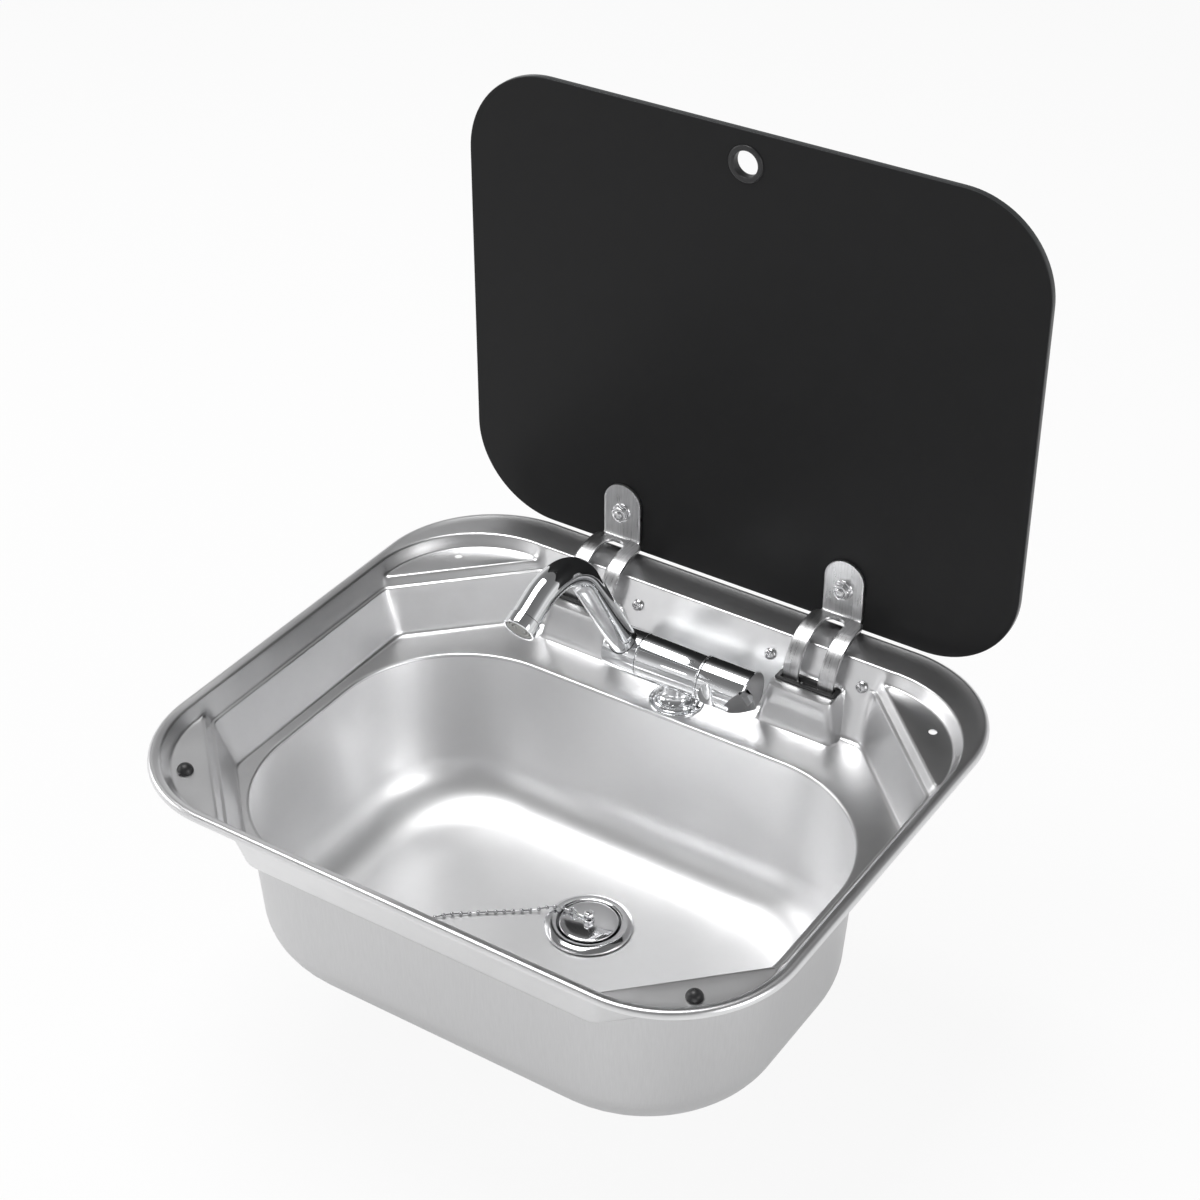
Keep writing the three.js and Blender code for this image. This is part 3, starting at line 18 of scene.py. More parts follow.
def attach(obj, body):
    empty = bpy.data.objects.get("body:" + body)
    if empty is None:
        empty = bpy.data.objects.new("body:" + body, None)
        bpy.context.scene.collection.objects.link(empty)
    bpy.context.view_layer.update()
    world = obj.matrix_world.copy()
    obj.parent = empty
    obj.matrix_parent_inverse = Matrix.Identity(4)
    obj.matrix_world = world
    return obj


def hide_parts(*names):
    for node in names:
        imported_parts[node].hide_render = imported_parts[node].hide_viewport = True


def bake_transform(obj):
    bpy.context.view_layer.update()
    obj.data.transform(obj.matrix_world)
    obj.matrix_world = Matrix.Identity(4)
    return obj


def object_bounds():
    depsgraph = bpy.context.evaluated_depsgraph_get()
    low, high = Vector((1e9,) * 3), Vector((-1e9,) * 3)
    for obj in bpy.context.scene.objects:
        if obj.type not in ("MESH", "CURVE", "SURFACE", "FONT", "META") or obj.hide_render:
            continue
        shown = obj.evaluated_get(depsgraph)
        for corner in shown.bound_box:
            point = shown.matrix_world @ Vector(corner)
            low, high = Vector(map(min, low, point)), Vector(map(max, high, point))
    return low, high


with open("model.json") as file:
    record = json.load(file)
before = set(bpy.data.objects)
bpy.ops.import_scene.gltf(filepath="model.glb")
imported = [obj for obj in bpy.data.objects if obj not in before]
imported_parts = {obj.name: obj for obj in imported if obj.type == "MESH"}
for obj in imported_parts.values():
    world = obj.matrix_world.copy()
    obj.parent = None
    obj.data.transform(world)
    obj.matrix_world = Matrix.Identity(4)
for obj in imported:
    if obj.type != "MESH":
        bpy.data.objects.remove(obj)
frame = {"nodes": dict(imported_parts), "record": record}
cad_parts = frame["nodes"]
cad_box = [[round(v, 5) for v in corner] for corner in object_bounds()]
MM = 0.001
print(len(cad_parts), "CAD parts in the box", cad_box)

# %% [markdown]
# ## The camera
# The picture was taken from the front and the right, about 34 degrees above level, with a long
# lens, so that the lines of the sink hardly run together. The place and the lens came from
# fitting a camera to some thirty points of the sink whose sizes are known.

# %% Camera
CAMERA_AT = (0.6563, -0.9742, 0.9013)
LOOKING_DOWN, FROM_THE_RIGHT = 34.40, 33.17  # degrees
LENS, SENSOR = 75.87, 36  # millimetres
bpy.ops.object.select_all(action="DESELECT")
bpy.ops.object.camera_add(
    location=CAMERA_AT,
    rotation=(math.radians(90 - LOOKING_DOWN), 0, math.radians(FROM_THE_RIGHT)),
)
camera = bpy.context.object
camera.name = "photo_camera"
camera.data.sensor_width = SENSOR
camera.data.lens = LENS
bpy.context.scene.camera = camera
print("camera at", tuple(round(v, 3) for v in camera.location))

# %% [markdown]
# ## Working by hand, in code
# Each piece starts as a primitive and is shaped in edit mode. An operator acts on everything
# that is selected, so the first helper clears the selection and takes one piece alone. Another
# picks vertices, edges or faces by a test on their place or normal.

# %% Helpers for edit mode
def take(piece):
    bpy.ops.object.select_all(action="DESELECT")
    piece.select_set(True)
    bpy.context.view_layer.objects.active = piece


def open_for_editing(piece, kind="FACE"):
    take(piece)
    bpy.ops.object.mode_set(mode="EDIT")
    bpy.ops.mesh.select_mode(type=kind)
    bpy.ops.mesh.select_all(action="DESELECT")


def pick(piece, kind, test):
    mesh = bmesh.from_edit_mesh(piece.data)
    for item in getattr(mesh, kind):
        item.select_set(bool(test(item)))
    mesh.select_flush_mode()
    bmesh.update_edit_mesh(piece.data)
    return sum(item.select for item in getattr(mesh, kind))


def close_editing(piece):
    bpy.ops.object.mode_set(mode="OBJECT")
    piece.select_set(False)


def apply_modifier(piece, kind, **settings):
    take(piece)
    modifier = piece.modifiers.new(kind.title(), kind)
    for name, value in settings.items():
        setattr(modifier, name, value)
    bpy.ops.object.modifier_apply(modifier=modifier.name)


def smooth(piece, degrees=30):
    take(piece)
    bpy.ops.object.shade_smooth_by_angle(angle=math.radians(degrees))
    piece.select_set(False)


def place(piece, name, at=(0, 0, 0), turn=None):
    """Puts a piece where it belongs by moving its mesh, so that its object stays at the origin."""
    piece.name = name
    piece.data.name = name
    move = Matrix.Translation(Vector(at)) @ (turn or Matrix.Identity(4))
    piece.data.transform(move @ piece.matrix_basis)
    piece.matrix_basis = Matrix.Identity(4)
    return piece


def copy_of(piece, name, at=(0, 0, 0), turn=None):
    """A copy with a mesh of its own, put in its place."""
    other = piece.copy()
    other.data = piece.data.copy()
    bpy.context.collection.objects.link(other)
    return place(other, name, at, turn)


def join(pieces, name):
    bpy.ops.object.select_all(action="DESELECT")
    for piece in pieces:
        piece.select_set(True)
    bpy.context.view_layer.objects.active = pieces[0]
    if len(pieces) > 1:
        bpy.ops.object.join()
    pieces[0].name = name
    pieces[0].data.name = name
    pieces[0].select_set(False)
    return pieces[0]


# %% [markdown]
# ## The ball chain
# Small plated balls on short wires, like beads on a string. It is the only cord of the sink:
# from the link on the stopper it drops to the bowl's floor, runs over it and climbs the front
# wall to its anchor. A round bead and a thin wire are modelled once, then copied along a smooth
# curve through the route of the CAD model.

# %% The route of the chain
CHAIN_ROUTE = [
    (-7.3, 8, -143.4), (-12, 7.4, -143.6), (-18, 6, -144.1), (-23.5, 4, -146), (-29, 1, -148),
    (-37, -5, -148.5), (-49, -14, -148.5), (-62, -24, -148.5), (-74, -34, -148.5),
    (-81, -46, -148.5), (-83, -60, -148.5), (-81, -75, -148.5), (-77, -90, -148.5),
    (-74.5, -104, -148), (-73.2, -115.5, -145.5), (-72.4, -126.4, -138.5), (-72, -134.3, -126.7),
    (-72, -137, -110), (-72, -137.5, -98), (-72, -138, -87.2),
]
CHAIN_PITCH = 5.4 * MM
BEAD_RADIUS, WIRE_RADIUS = 1.45 * MM, 0.42 * MM
POLE_FROM, POLE_PRESSED = 0.85, 0.92  # the bead's ends are pressed a little flat
CURVE_STEPS = 24


def along_route(route, steps=CURVE_STEPS):
    """Points on a smooth curve through the route's points, close together."""
    points = [Vector(p) * MM for p in route]
    ends = [points[0] * 2 - points[1]] + points + [points[-1] * 2 - points[-2]]
    line = []
    for a, b, c, d in zip(ends, ends[1:], ends[2:], ends[3:]):
        for i in range(steps):
            t = i / steps
            line.append(0.5 * (
                2 * b + (c - a) * t + (2 * a - 5 * b + 4 * c - d) * t * t
                + (3 * b - a - 3 * c + d) * t ** 3
            ))
    return line + [points[-1]]


chain_line = along_route(CHAIN_ROUTE)
chain_steps = [0.0]
for a, b in zip(chain_line, chain_line[1:]):
    chain_steps.append(chain_steps[-1] + (b - a).length)
chain_length = chain_steps[-1]
print("the chain is", round(chain_length, 4), "m long")


def on_chain(distance):
    return Vector([np.interp(distance, chain_steps, [p[i] for p in chain_line]) for i in range(3)])


def turn_on_chain(start, end):
    along = on_chain(end) - on_chain(start)
    return along.to_track_quat("Z", "Y").to_matrix().to_4x4()


# %% A bead, a wire and their copies
bpy.ops.object.select_all(action="DESELECT")
bpy.ops.mesh.primitive_uv_sphere_add(segments=14, ring_count=10, radius=BEAD_RADIUS)
bead = bpy.context.object
open_for_editing(bead, "VERT")
pick(bead, "verts", lambda v: abs(v.co.z) > POLE_FROM * BEAD_RADIUS)
bpy.ops.transform.resize(value=(1, 1, POLE_PRESSED), center_override=(0, 0, 0))
close_editing(bead)
bpy.ops.mesh.primitive_cylinder_add(vertices=6, radius=WIRE_RADIUS, depth=CHAIN_PITCH)
wire = bpy.context.object
beads = []
bead_count = round(chain_length / CHAIN_PITCH)
for i in range(bead_count + 1):
    at = chain_length * i / bead_count
    turn = turn_on_chain(max(at - MM, 0), min(at + MM, chain_length))
    beads.append(copy_of(bead, "bead", on_chain(at), turn))
    if i < bead_count:
        middle = chain_length * (i + 0.5) / bead_count
        turn = turn_on_chain(middle - CHAIN_PITCH / 2, middle + CHAIN_PITCH / 2)
        beads.append(copy_of(wire, "wire", on_chain(middle), turn))
bpy.data.objects.remove(bead)
bpy.data.objects.remove(wire)
ball_chain = join(beads, "ball_chain")
smooth(ball_chain, 60)
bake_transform(ball_chain)
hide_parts("stopper_chain")
print(bead_count + 1, "balls,", len(ball_chain.data.polygons), "faces")

# %% [markdown]
# ## Floor, sky and lamps
# Polished and brushed steel show little of their own: they show the room. The room here is a
# white floor, a pale horizon and a darker ceiling, with soft lamps to the left, to the right
# and overhead. The upright walls then mirror the bright horizon and the level faces the dim
# ceiling, which is what draws the folds of the sheet. A small strip in front draws the white
# line along the chrome. The floor's own light is seen by the camera and, weaker, by what
# mirrors it, and it adds no light to the object.

# %% White floor that keeps the shadow
def node_of(tree, kind, **settings):
    node = tree.nodes.new(kind)
    for name, value in settings.items():
        if name in node.inputs:
            node.inputs[name].default_value = value
        else:
            setattr(node, name, value)
    return node


GLOW_SEEN, GLOW_MIRRORED = 0.90, 0.42
bpy.ops.object.select_all(action="DESELECT")
bpy.ops.mesh.primitive_plane_add(size=12, location=(0, 0, 0))
floor = bpy.context.object
place(floor, "studio_floor", (0, 0, cad_box[0][2] - 0.0005))
paper = bpy.data.materials.new("white_paper")
paper.use_nodes = True
tree = paper.node_tree
surface = tree.nodes["Principled BSDF"]
surface.inputs["Base Color"].default_value = (0.92, 0.92, 0.92, 1)
surface.inputs["Roughness"].default_value = 0.9
glow = node_of(tree, "ShaderNodeEmission", Strength=1.0)
share = node_of(tree, "ShaderNodeMixShader")
ray = node_of(tree, "ShaderNodeLightPath")
mirrored = node_of(tree, "ShaderNodeMath", operation="MULTIPLY")
mirrored.inputs[1].default_value = GLOW_MIRRORED
tree.links.new(ray.outputs["Is Glossy Ray"], mirrored.inputs[0])
amount = node_of(tree, "ShaderNodeMath", operation="MULTIPLY_ADD")
amount.inputs[1].default_value = GLOW_SEEN
tree.links.new(ray.outputs["Is Camera Ray"], amount.inputs[0])
tree.links.new(mirrored.outputs[0], amount.inputs[2])
tree.links.new(amount.outputs[0], share.inputs[0])
tree.links.new(surface.outputs[0], share.inputs[1])
tree.links.new(glow.outputs[0], share.inputs[2])
tree.links.new(share.outputs[0], tree.nodes["Material Output"].inputs["Surface"])
floor.data.materials.append(paper)
print("floor at z =", round(cad_box[0][2], 4))

# %% Sky: pale near the horizon, dim overhead
sky = bpy.data.worlds.new("studio")
bpy.context.scene.world = sky
sky.use_nodes = True
tree = sky.node_tree
backdrop = tree.nodes["Background"]
direction = node_of(tree, "ShaderNodeTexCoord")
height = node_of(tree, "ShaderNodeSeparateXYZ")
ramp = node_of(tree, "ShaderNodeValToRGB")
tree.links.new(direction.outputs["Generated"], height.inputs[0])
tree.links.new(height.outputs["Z"], ramp.inputs[0])
tree.links.new(ramp.outputs[0], backdrop.inputs["Color"])
SKY_BANDS = [(0.0, 0.76), (0.20, 0.80), (0.36, 0.42), (0.56, 0.22), (1.0, 0.16)]
while len(ramp.color_ramp.elements) < len(SKY_BANDS):
    ramp.color_ramp.elements.new(0.5)
for stop, (at, grey) in zip(ramp.color_ramp.elements, SKY_BANDS):
    stop.position = at
    stop.color = (grey, grey, grey * 1.01, 1)
print("sky of", len(SKY_BANDS), "bands")


# %% Soft lamps
def soft_lamp(name, at, target, width, height_of_lamp, watts):
    bpy.ops.object.select_all(action="DESELECT")
    bpy.ops.object.light_add(type="AREA", location=at)
    lamp = bpy.context.object
    lamp.name = name
    lamp.data.shape = "RECTANGLE"
    lamp.data.size = width
    lamp.data.size_y = height_of_lamp
    lamp.data.energy = watts
    aim = Vector(target) - Vector(at)
    lamp.rotation_euler = aim.to_track_quat("-Z", "Y").to_euler()
    return lamp


soft_lamp("left_softbox", (-2.2, -0.7, 0.9), (0, 0, 0), 1.3, 0.9, 11)
soft_lamp("front_strip", (-1.3, -2.1, 0.80), (0, 0, 0), 0.5, 0.22, 1.0)
soft_lamp("right_softbox", (2.1, -0.3, 0.75), (0, 0, -0.05), 1.0, 0.7, 12)
soft_lamp("top_softbox", (-0.6, 0.05, 2.1), (0, -0.02, 0), 1.3, 1.3, 33)
print("four soft lamps")

# %% Plain view of the colours
bpy.context.scene.view_settings.view_transform = "Standard"
print("view transform:", bpy.context.scene.view_settings.view_transform)

# %% [markdown]
# ## Finishes
# Every finish is a node material on Object coordinates, so it stays put on its piece. Satin
# steel is a metal with a middling roughness, broken by fine grain and by long faint streaks that
# the polishing belt left. The same recipe with other numbers gives chrome, nickel plate and
# brass, and a second recipe gives rubber, plastic and the black glass.


# %% Metal recipe
def metal_finish(name, colour, roughness, streaks, streak_depth, grain, bump):
    """A metal: streaks = (x, y, z) texture scale, its colour and roughness vary with them."""
    material = bpy.data.materials.new(name)
    material.use_nodes = True
    tree = material.node_tree
    shader = tree.nodes["Principled BSDF"]
    shader.inputs["Metallic"].default_value = 1.0
    where = node_of(tree, "ShaderNodeTexCoord")
    stretch = node_of(tree, "ShaderNodeMapping", Scale=streaks)
    belt = node_of(tree, "ShaderNodeTexNoise", Scale=1.0, Detail=4.0, Roughness=0.6)
    tree.links.new(where.outputs["Object"], stretch.inputs["Vector"])
    tree.links.new(stretch.outputs[0], belt.inputs["Vector"])
    shade = node_of(tree, "ShaderNodeValToRGB")
    dark = tuple(c * (1 - streak_depth) for c in colour)
    light = tuple(min(1, c * (1 + streak_depth)) for c in colour)
    shade.color_ramp.elements[0].position = 0.3
    shade.color_ramp.elements[0].color = (*dark, 1)
    shade.color_ramp.elements[1].position = 0.7
    shade.color_ramp.elements[1].color = (*light, 1)
    tree.links.new(belt.outputs["Fac"], shade.inputs[0])
    tree.links.new(shade.outputs[0], shader.inputs["Base Color"])
    spread = node_of(tree, "ShaderNodeMapRange")
    spread.inputs["From Min"].default_value = 0.3
    spread.inputs["From Max"].default_value = 0.7
    spread.inputs["To Min"].default_value = roughness * (1 - streak_depth)
    spread.inputs["To Max"].default_value = roughness * (1 + streak_depth)
    tree.links.new(belt.outputs["Fac"], spread.inputs["Value"])
    tree.links.new(spread.outputs[0], shader.inputs["Roughness"])
    fine = node_of(tree, "ShaderNodeTexNoise", Scale=grain, Detail=2.0)
    tree.links.new(where.outputs["Object"], fine.inputs["Vector"])
    relief = node_of(tree, "ShaderNodeBump", Strength=bump, Distance=0.0001)
    tree.links.new(fine.outputs["Fac"], relief.inputs["Height"])
    tree.links.new(relief.outputs[0], shader.inputs["Normal"])
    return material


EVEN = (30, 30, 30)
satin_steel = metal_finish("satin_steel", (0.79, 0.79, 0.795), 0.32, EVEN, 0.03, 2500, 0.05)
# The bowl's inside gets a brighter copy of the satin steel; its lighter colour is painted light.
bright_painted_bowl_steel = metal_finish("bright_painted_bowl_steel", (0.97, 0.97, 0.975), 0.39, EVEN, 0.02, 2500, 0.05)
belt_steel = metal_finish("belt_steel", (0.62, 0.62, 0.625), 0.34, (1500, 1500, 8), 0.03, 2500,
                          0.04)
chrome = metal_finish("polished_chrome", (0.86, 0.87, 0.88), 0.05, (40, 40, 40), 0.02, 900, 0.01)
soft_chrome = metal_finish("soft_chrome", (0.78, 0.78, 0.79), 0.10, (40, 40, 40), 0.02, 900, 0.01)
# The chain's dark grey colour is painted shade: it stands in for the dark surroundings that the
# plated beads mirror.
dark_painted_chain_plate = metal_finish("dark_painted_chain_plate", (0.46, 0.46, 0.47), 0.14, (900, 900, 900), 0.25, 1500,
                           0.02)
nickel = metal_finish("plated_steel", (0.70, 0.70, 0.71), 0.20, (300, 300, 300), 0.06, 1500, 0.10)
brass = metal_finish("raw_brass", (0.72, 0.55, 0.30), 0.28, (500, 500, 60), 0.08, 1500, 0.15)
satin_knob = metal_finish("satin_knob", (0.50, 0.50, 0.505), 0.42, (60, 60, 60), 0.03, 2500, 0.05)
leg_steel = metal_finish("leg_steel", (0.66, 0.66, 0.665), 0.30, (900, 60, 60), 0.14, 2500, 0.08)
print("metals:", satin_steel.name, belt_steel.name, chrome.name, nickel.name, brass.name)


# %% Recipe for rubber, plastic and glass
def matt_finish(name, colour, roughness, specular, grain, mottle, bump):
    """No metal: mottle is how far a fine noise lightens and darkens the colour."""
    material = bpy.data.materials.new(name)
    material.use_nodes = True
    tree = material.node_tree
    shader = tree.nodes["Principled BSDF"]
    shader.inputs["Specular IOR Level"].default_value = specular
    where = node_of(tree, "ShaderNodeTexCoord")
    noise = node_of(tree, "ShaderNodeTexNoise", Scale=grain, Detail=3.0)
    tree.links.new(where.outputs["Object"], noise.inputs["Vector"])
    shade = node_of(tree, "ShaderNodeValToRGB")
    shade.color_ramp.elements[0].color = (*[c * (1 - mottle) for c in colour], 1)
    shade.color_ramp.elements[1].color = (*[c * (1 + mottle) for c in colour], 1)
    tree.links.new(noise.outputs["Fac"], shade.inputs[0])
    tree.links.new(shade.outputs[0], shader.inputs["Base Color"])
    shader.inputs["Roughness"].default_value = roughness
    relief = node_of(tree, "ShaderNodeBump", Strength=bump, Distance=0.0002)
    tree.links.new(noise.outputs["Fac"], relief.inputs["Height"])
    tree.links.new(relief.outputs[0], shader.inputs["Normal"])
    return material


black_rubber = matt_finish("black_rubber", (0.022, 0.022, 0.023), 0.38, 0.45, 900, 0.15, 0.10)
black_plastic = matt_finish("black_plastic", (0.020, 0.020, 0.021), 0.42, 0.40, 1400, 0.12, 0.12)
white_plastic = matt_finish("white_plastic", (0.62, 0.62, 0.60), 0.45, 0.40, 900, 0.04, 0.05)
black_glass = matt_finish("black_glass", (0.016, 0.016, 0.0165), 0.34, 0.14, 60, 0.05, 0.0)
print("others:", black_rubber.name, black_plastic.name, white_plastic.name, black_glass.name)

# %% Finishes on the CAD parts
FINISH_OF_SLOT = {
    "satin_steel": satin_steel, "polished_chrome": chrome, "plated_steel": nickel,
    "raw_brass": brass, "black_plastic": black_plastic, "black_rubber": black_rubber,
    "black_glass": black_glass, "white_plastic": white_plastic,
}


def paint(piece, material):
    piece.data.materials.clear()
    piece.data.materials.append(material)


for subpart in frame["record"]["subparts"]:
    paint(cad_parts[subpart["node"]], FINISH_OF_SLOT[subpart["material_slot"]])
paint(ball_chain, dark_painted_chain_plate)

# %% [markdown]
# ## The tray
# The tray is one sheet of steel, 0.8 mm thick, drawn in a press: a rolled rim, a narrow flange,
# corner pads with a stop or a hole, a step half way down the wall, a deck round the bowl and two
# bosses for the hinges. A box with bevels would never give these walls that lean and blend, so
# the sheet is made as the press makes it. A flat grid is the blank. Its columns run from the rim
# in to the bowl's mouth, its rows are the levels of the die, and each crossing is pressed to
# its place. Solidify then gives the sheet its thickness.

# %% Outlines of the die
SHEET = 0.8
RIM = dict(half=210.0, front=-181.7, back=181.7, corner=78.0)
EDGE = dict(half=203.0, front=-174.5, back=155.3, corner=71.0)
DECK = dict(half=183.5, front=-157.0, back=133.0, corner=14.0, cut=265.0)
MOUTH = dict(half=175.0, front=-142.0, back=92.0, corner=85.0)
RECESS_Y = -9.6
FLANGE_Z, PAD_Z, STEP_Z, LEDGE_Z, DECK_Z = 3.6, -4.3, -9.6, -10.2, -41.0


def inset(outline, by, **more):
    moved = dict(half=outline["half"] - by, front=outline["front"] + by,
                 back=outline["back"] - by, corner=max(outline["corner"] - by, 2.0))
    return {**outline, **moved, **more}


def on_wall(z, extra=0.0, **more):
    """The outline of the straight wall between the flange and the deck, at height z."""
    share = (FLANGE_Z - z) / (FLANGE_Z - DECK_Z)
    mix = {k: EDGE[k] + (DECK[k] - EDGE[k]) * share for k in ("half", "front", "back")}
    corner = EDGE["corner"] - 31 * min(1, share * 1.4)
    return dict(half=mix["half"] - extra, front=mix["front"] + extra, back=mix["back"],
                corner=corner, **more)


def outside(outline, x, y):
    """How far a point lies outside a rounded outline whose corners may be cut off straight."""
    middle = (outline["front"] + outline["back"]) / 2
    deep = (outline["back"] - outline["front"]) / 2
    qx = np.abs(x) - (outline["half"] - outline["corner"])
    qy = np.abs(y - middle) - (deep - outline["corner"])
    away = np.hypot(np.maximum(qx, 0), np.maximum(qy, 0)) + np.minimum(np.maximum(qx, qy), 0)
    away = away - outline["corner"]
    if "cut" in outline:
        chord = (np.abs(x) + np.abs(y - RECESS_Y) - outline["cut"]) / math.sqrt(2)
        soft = outline.get("soft", 3.0)
        blend = np.maximum(soft - np.abs(away - chord), 0)
        away = np.maximum(away, chord) + blend * blend / (4 * soft)
    return away


# %% Columns of the blank, from a spine inside the bowl out to the rim
SPINE_X, SPINE_FRONT, SPINE_BACK = 115.0, -60.0, 8.0
FARTHEST = 320.0  # no column is longer than this


def spread(start, end, *parts):
    """Steps from start to end: each part is (share of the way, number of steps)."""
    stops, at = [], start
    for reach_to, count in parts:
        to = start + (end - start) * reach_to
        stops += [at + (to - at) * i / count for i in range(count)]
        at = to
    return stops


columns = []
back_xs = spread(-SPINE_X, SPINE_X, (0.0261, 3), (0.063, 12), (0.237, 20), (0.2739, 12),
                 (0.7261, 46), (0.763, 12), (0.937, 20), (0.9739, 12), (1.0, 3))
columns += [(x, SPINE_BACK, 90.0) for x in back_xs]
columns += [(SPINE_X, SPINE_BACK, a) for a in spread(90.0, 0.0, (0.03, 3), (0.56, 64), (1.0, 14))]
columns += [(SPINE_X, y, 0.0) for y in spread(SPINE_BACK, SPINE_FRONT, (1.0, 16))]
columns += [(SPINE_X, SPINE_FRONT, a) for a in spread(0.0, -90.0, (0.44, 14), (0.97, 64), (1.0, 3))]
columns += [(x, SPINE_FRONT, -90.0) for x in spread(SPINE_X, -SPINE_X, (1.0, 50))]
columns += [(-SPINE_X, SPINE_FRONT, a)
            for a in spread(-90.0, -180.0, (0.03, 3), (0.56, 64), (1.0, 14))]
columns += [(-SPINE_X, y, 180.0) for y in spread(SPINE_FRONT, SPINE_BACK, (1.0, 16))]
columns += [(-SPINE_X, SPINE_BACK, a)
            for a in spread(180.0, 90.0, (0.44, 14), (0.97, 64), (1.0, 3))]
from_x, from_y, heading = (np.array(v) for v in zip(*columns))
go_x = np.cos(np.radians(heading))
go_y = np.sin(np.radians(heading))


def reach(outline):
    """How far each column runs from the spine to an outline, found by halving."""
    near, far = level(0), level(FARTHEST)
    for _ in range(40):
        middle = (near + far) / 2
        within = outside(outline, from_x + middle * go_x, from_y + middle * go_y) < 0
        near, far = np.where(within, middle, near), np.where(within, far, middle)
    return near


def level(value):
    """The same number for every column."""
    return np.full(len(columns), float(value))


print(len(columns), "columns")

# %% [markdown]
# Each column of the blank is a section through the die. Its corner points come from the
# outlines, and each corner is rounded by a short curve between the two straights beside it.
# Where the back wall meets a hinge, the section steps out over a boss: along its top, round its
# front edge and down its face.

# %% Sections of the recess
HINGE_X = 80.5
BOSS = dict(top=-15.0, top_half=22.0, foot_half=27.0, top_front=126.0, foot_front=122.0, round=5.0)


def soft_min(a, b, k):
    h = np.clip(0.5 + 0.5 * (b - a) / k, 0, 1)
    return b * (1 - h) + a * h - k * h * (1 - h)


def soft_step(value, start, end):
    t = np.clip((value - start) / (end - start), 0, 1)
    return t * t * (3 - 2 * t)


edge_at = reach(EDGE)
pad_line = dict(on_wall(PAD_Z, 1.1), corner=69.0)
pad_outer = reach(pad_line)
pad_inner = reach(inset(pad_line, 0.4, cut=286.0, soft=2.0))
step_at = reach(on_wall(STEP_Z, 1.4, cut=281.0, soft=2.2))
ledge_at = reach(on_wall(LEDGE_Z, 3.0, cut=278.2, soft=2.2))
deck_at = reach(dict(DECK, soft=3.2))
mouth_at = reach(MOUTH)

# Where a column meets no pad, the two pad points slide apart along the wall to these heights.
UPPER_Z, LOWER_Z = -2.4, -5.6
flat_pad = soft_step(pad_outer - pad_inner, 0.5, 5.0)


def pad_point(wall_z, pad_edge):
    """Distance and height of a pad point: on the wall, or on the pad where there is one."""
    share = (FLANGE_Z - wall_z) / (FLANGE_Z - STEP_Z)
    on_the_wall = edge_at + (step_at - edge_at) * share
    return (on_the_wall + (pad_edge - on_the_wall) * flat_pad,
            wall_z + (PAD_Z - wall_z) * flat_pad)


pad_a, pad_az = pad_point(UPPER_Z, pad_outer)
pad_b, pad_bz = pad_point(LOWER_Z, pad_inner)

# A boss: how high it stands and how far it reaches forward at each column and height.
at_back = heading == 90.0
across = np.abs(np.abs(from_x) - HINGE_X)
flank = (BOSS["foot_half"] - BOSS["top_half"]) / (BOSS["top"] - DECK_Z)
lean = (BOSS["top_front"] - BOSS["foot_front"]) / (BOSS["top"] - DECK_Z)
side_height = BOSS["top"] - (across - BOSS["top_half"]) / flank
boss_top = soft_min(level(BOSS["top"]), side_height, 3.0)
boss_top = -soft_min(-boss_top, level(-DECK_Z), 3.0)
boss_top = np.where(at_back & (across < BOSS["foot_half"] + 1.5), boss_top, DECK_Z)
boss_top = np.maximum(boss_top, DECK_Z)
on_boss = at_back & (across < BOSS["foot_half"] + 0.5)


def boss_front(z):
    half = BOSS["top_half"] + (BOSS["top"] - z) * flank
    over = np.clip(across - (half - BOSS["round"]), 0, BOSS["round"])
    front = BOSS["top_front"] - (BOSS["top"] - z) * lean
    return front + BOSS["round"] - np.sqrt(BOSS["round"] ** 2 - over ** 2) - SPINE_BACK


wall_there = ledge_at + (deck_at - ledge_at) * (LEDGE_Z - boss_top) / (LEDGE_Z - DECK_Z)
width = deck_at - mouth_at
near_boss = np.where(at_back, 1 - soft_step(across, BOSS["foot_half"], BOSS["foot_half"] + 7), 0)
boss_foot = boss_front(level(DECK_Z))
flat_b = mouth_at + width * 0.7
flat_c = mouth_at + width * 0.45
top_b = np.where(on_boss, boss_front(boss_top), flat_b + (boss_foot + 2.5 - flat_b) * near_boss)
foot_c = np.where(on_boss, boss_foot, flat_c + (boss_foot - flat_c) * near_boss)
print("bosses cover", int(on_boss.sum()), "columns; pads", int((flat_pad > 0.5).sum()))

# %% Rows of the blank: corners rounded, straights divided
RIM_ROLL = [(2.2, 1.0), (1.1, 0.35), (0.2, 0.9), (0.0, 1.9), (0.25, 3.1), (0.85, 4.15),
            (1.75, 4.8), (2.8, 5.0), (3.8, 4.85), (4.7, 4.5)]


def rounded_rows(corners, steps=5):
    """corners: (distance, height, softness, rows after it) for each corner of the section."""
    points = [np.stack([t, z], 1) for t, z, _, _ in corners]
    rows = []
    leaving = points[0]
    for i, here in enumerate(points):
        softness = corners[i][2]
        arriving = leaving_here = here
        curve = [here]
        if 0 < i < len(corners) - 1 and softness:
            back, ahead = points[i - 1] - here, points[i + 1] - here
            back_long = np.linalg.norm(back, axis=1, keepdims=True) + 1e-9
            ahead_long = np.linalg.norm(ahead, axis=1, keepdims=True) + 1e-9
            arriving = here + back * np.minimum(softness / back_long, 0.46)
            leaving_here = here + ahead * np.minimum(softness / ahead_long, 0.46)
            curve = []
            for k in range(steps + 1):
                u = k / steps
                curve.append(
                    (1 - u) ** 2 * arriving + 2 * u * (1 - u) * here + u * u * leaving_here)
        if i:
            count = corners[i - 1][3]
            for k in range(1, count + 1):
                rows.append(leaving + (arriving - leaving) * k / (count + 1))
        rows += curve
        leaving = leaving_here
    return rows


def crossings(rows):
    """Where each row crosses each column, in millimetres."""
    section = np.stack(rows)
    return np.stack([
        from_x + section[:, :, 0] * go_x, from_y + section[:, :, 0] * go_y, section[:, :, 1],
    ], 2)


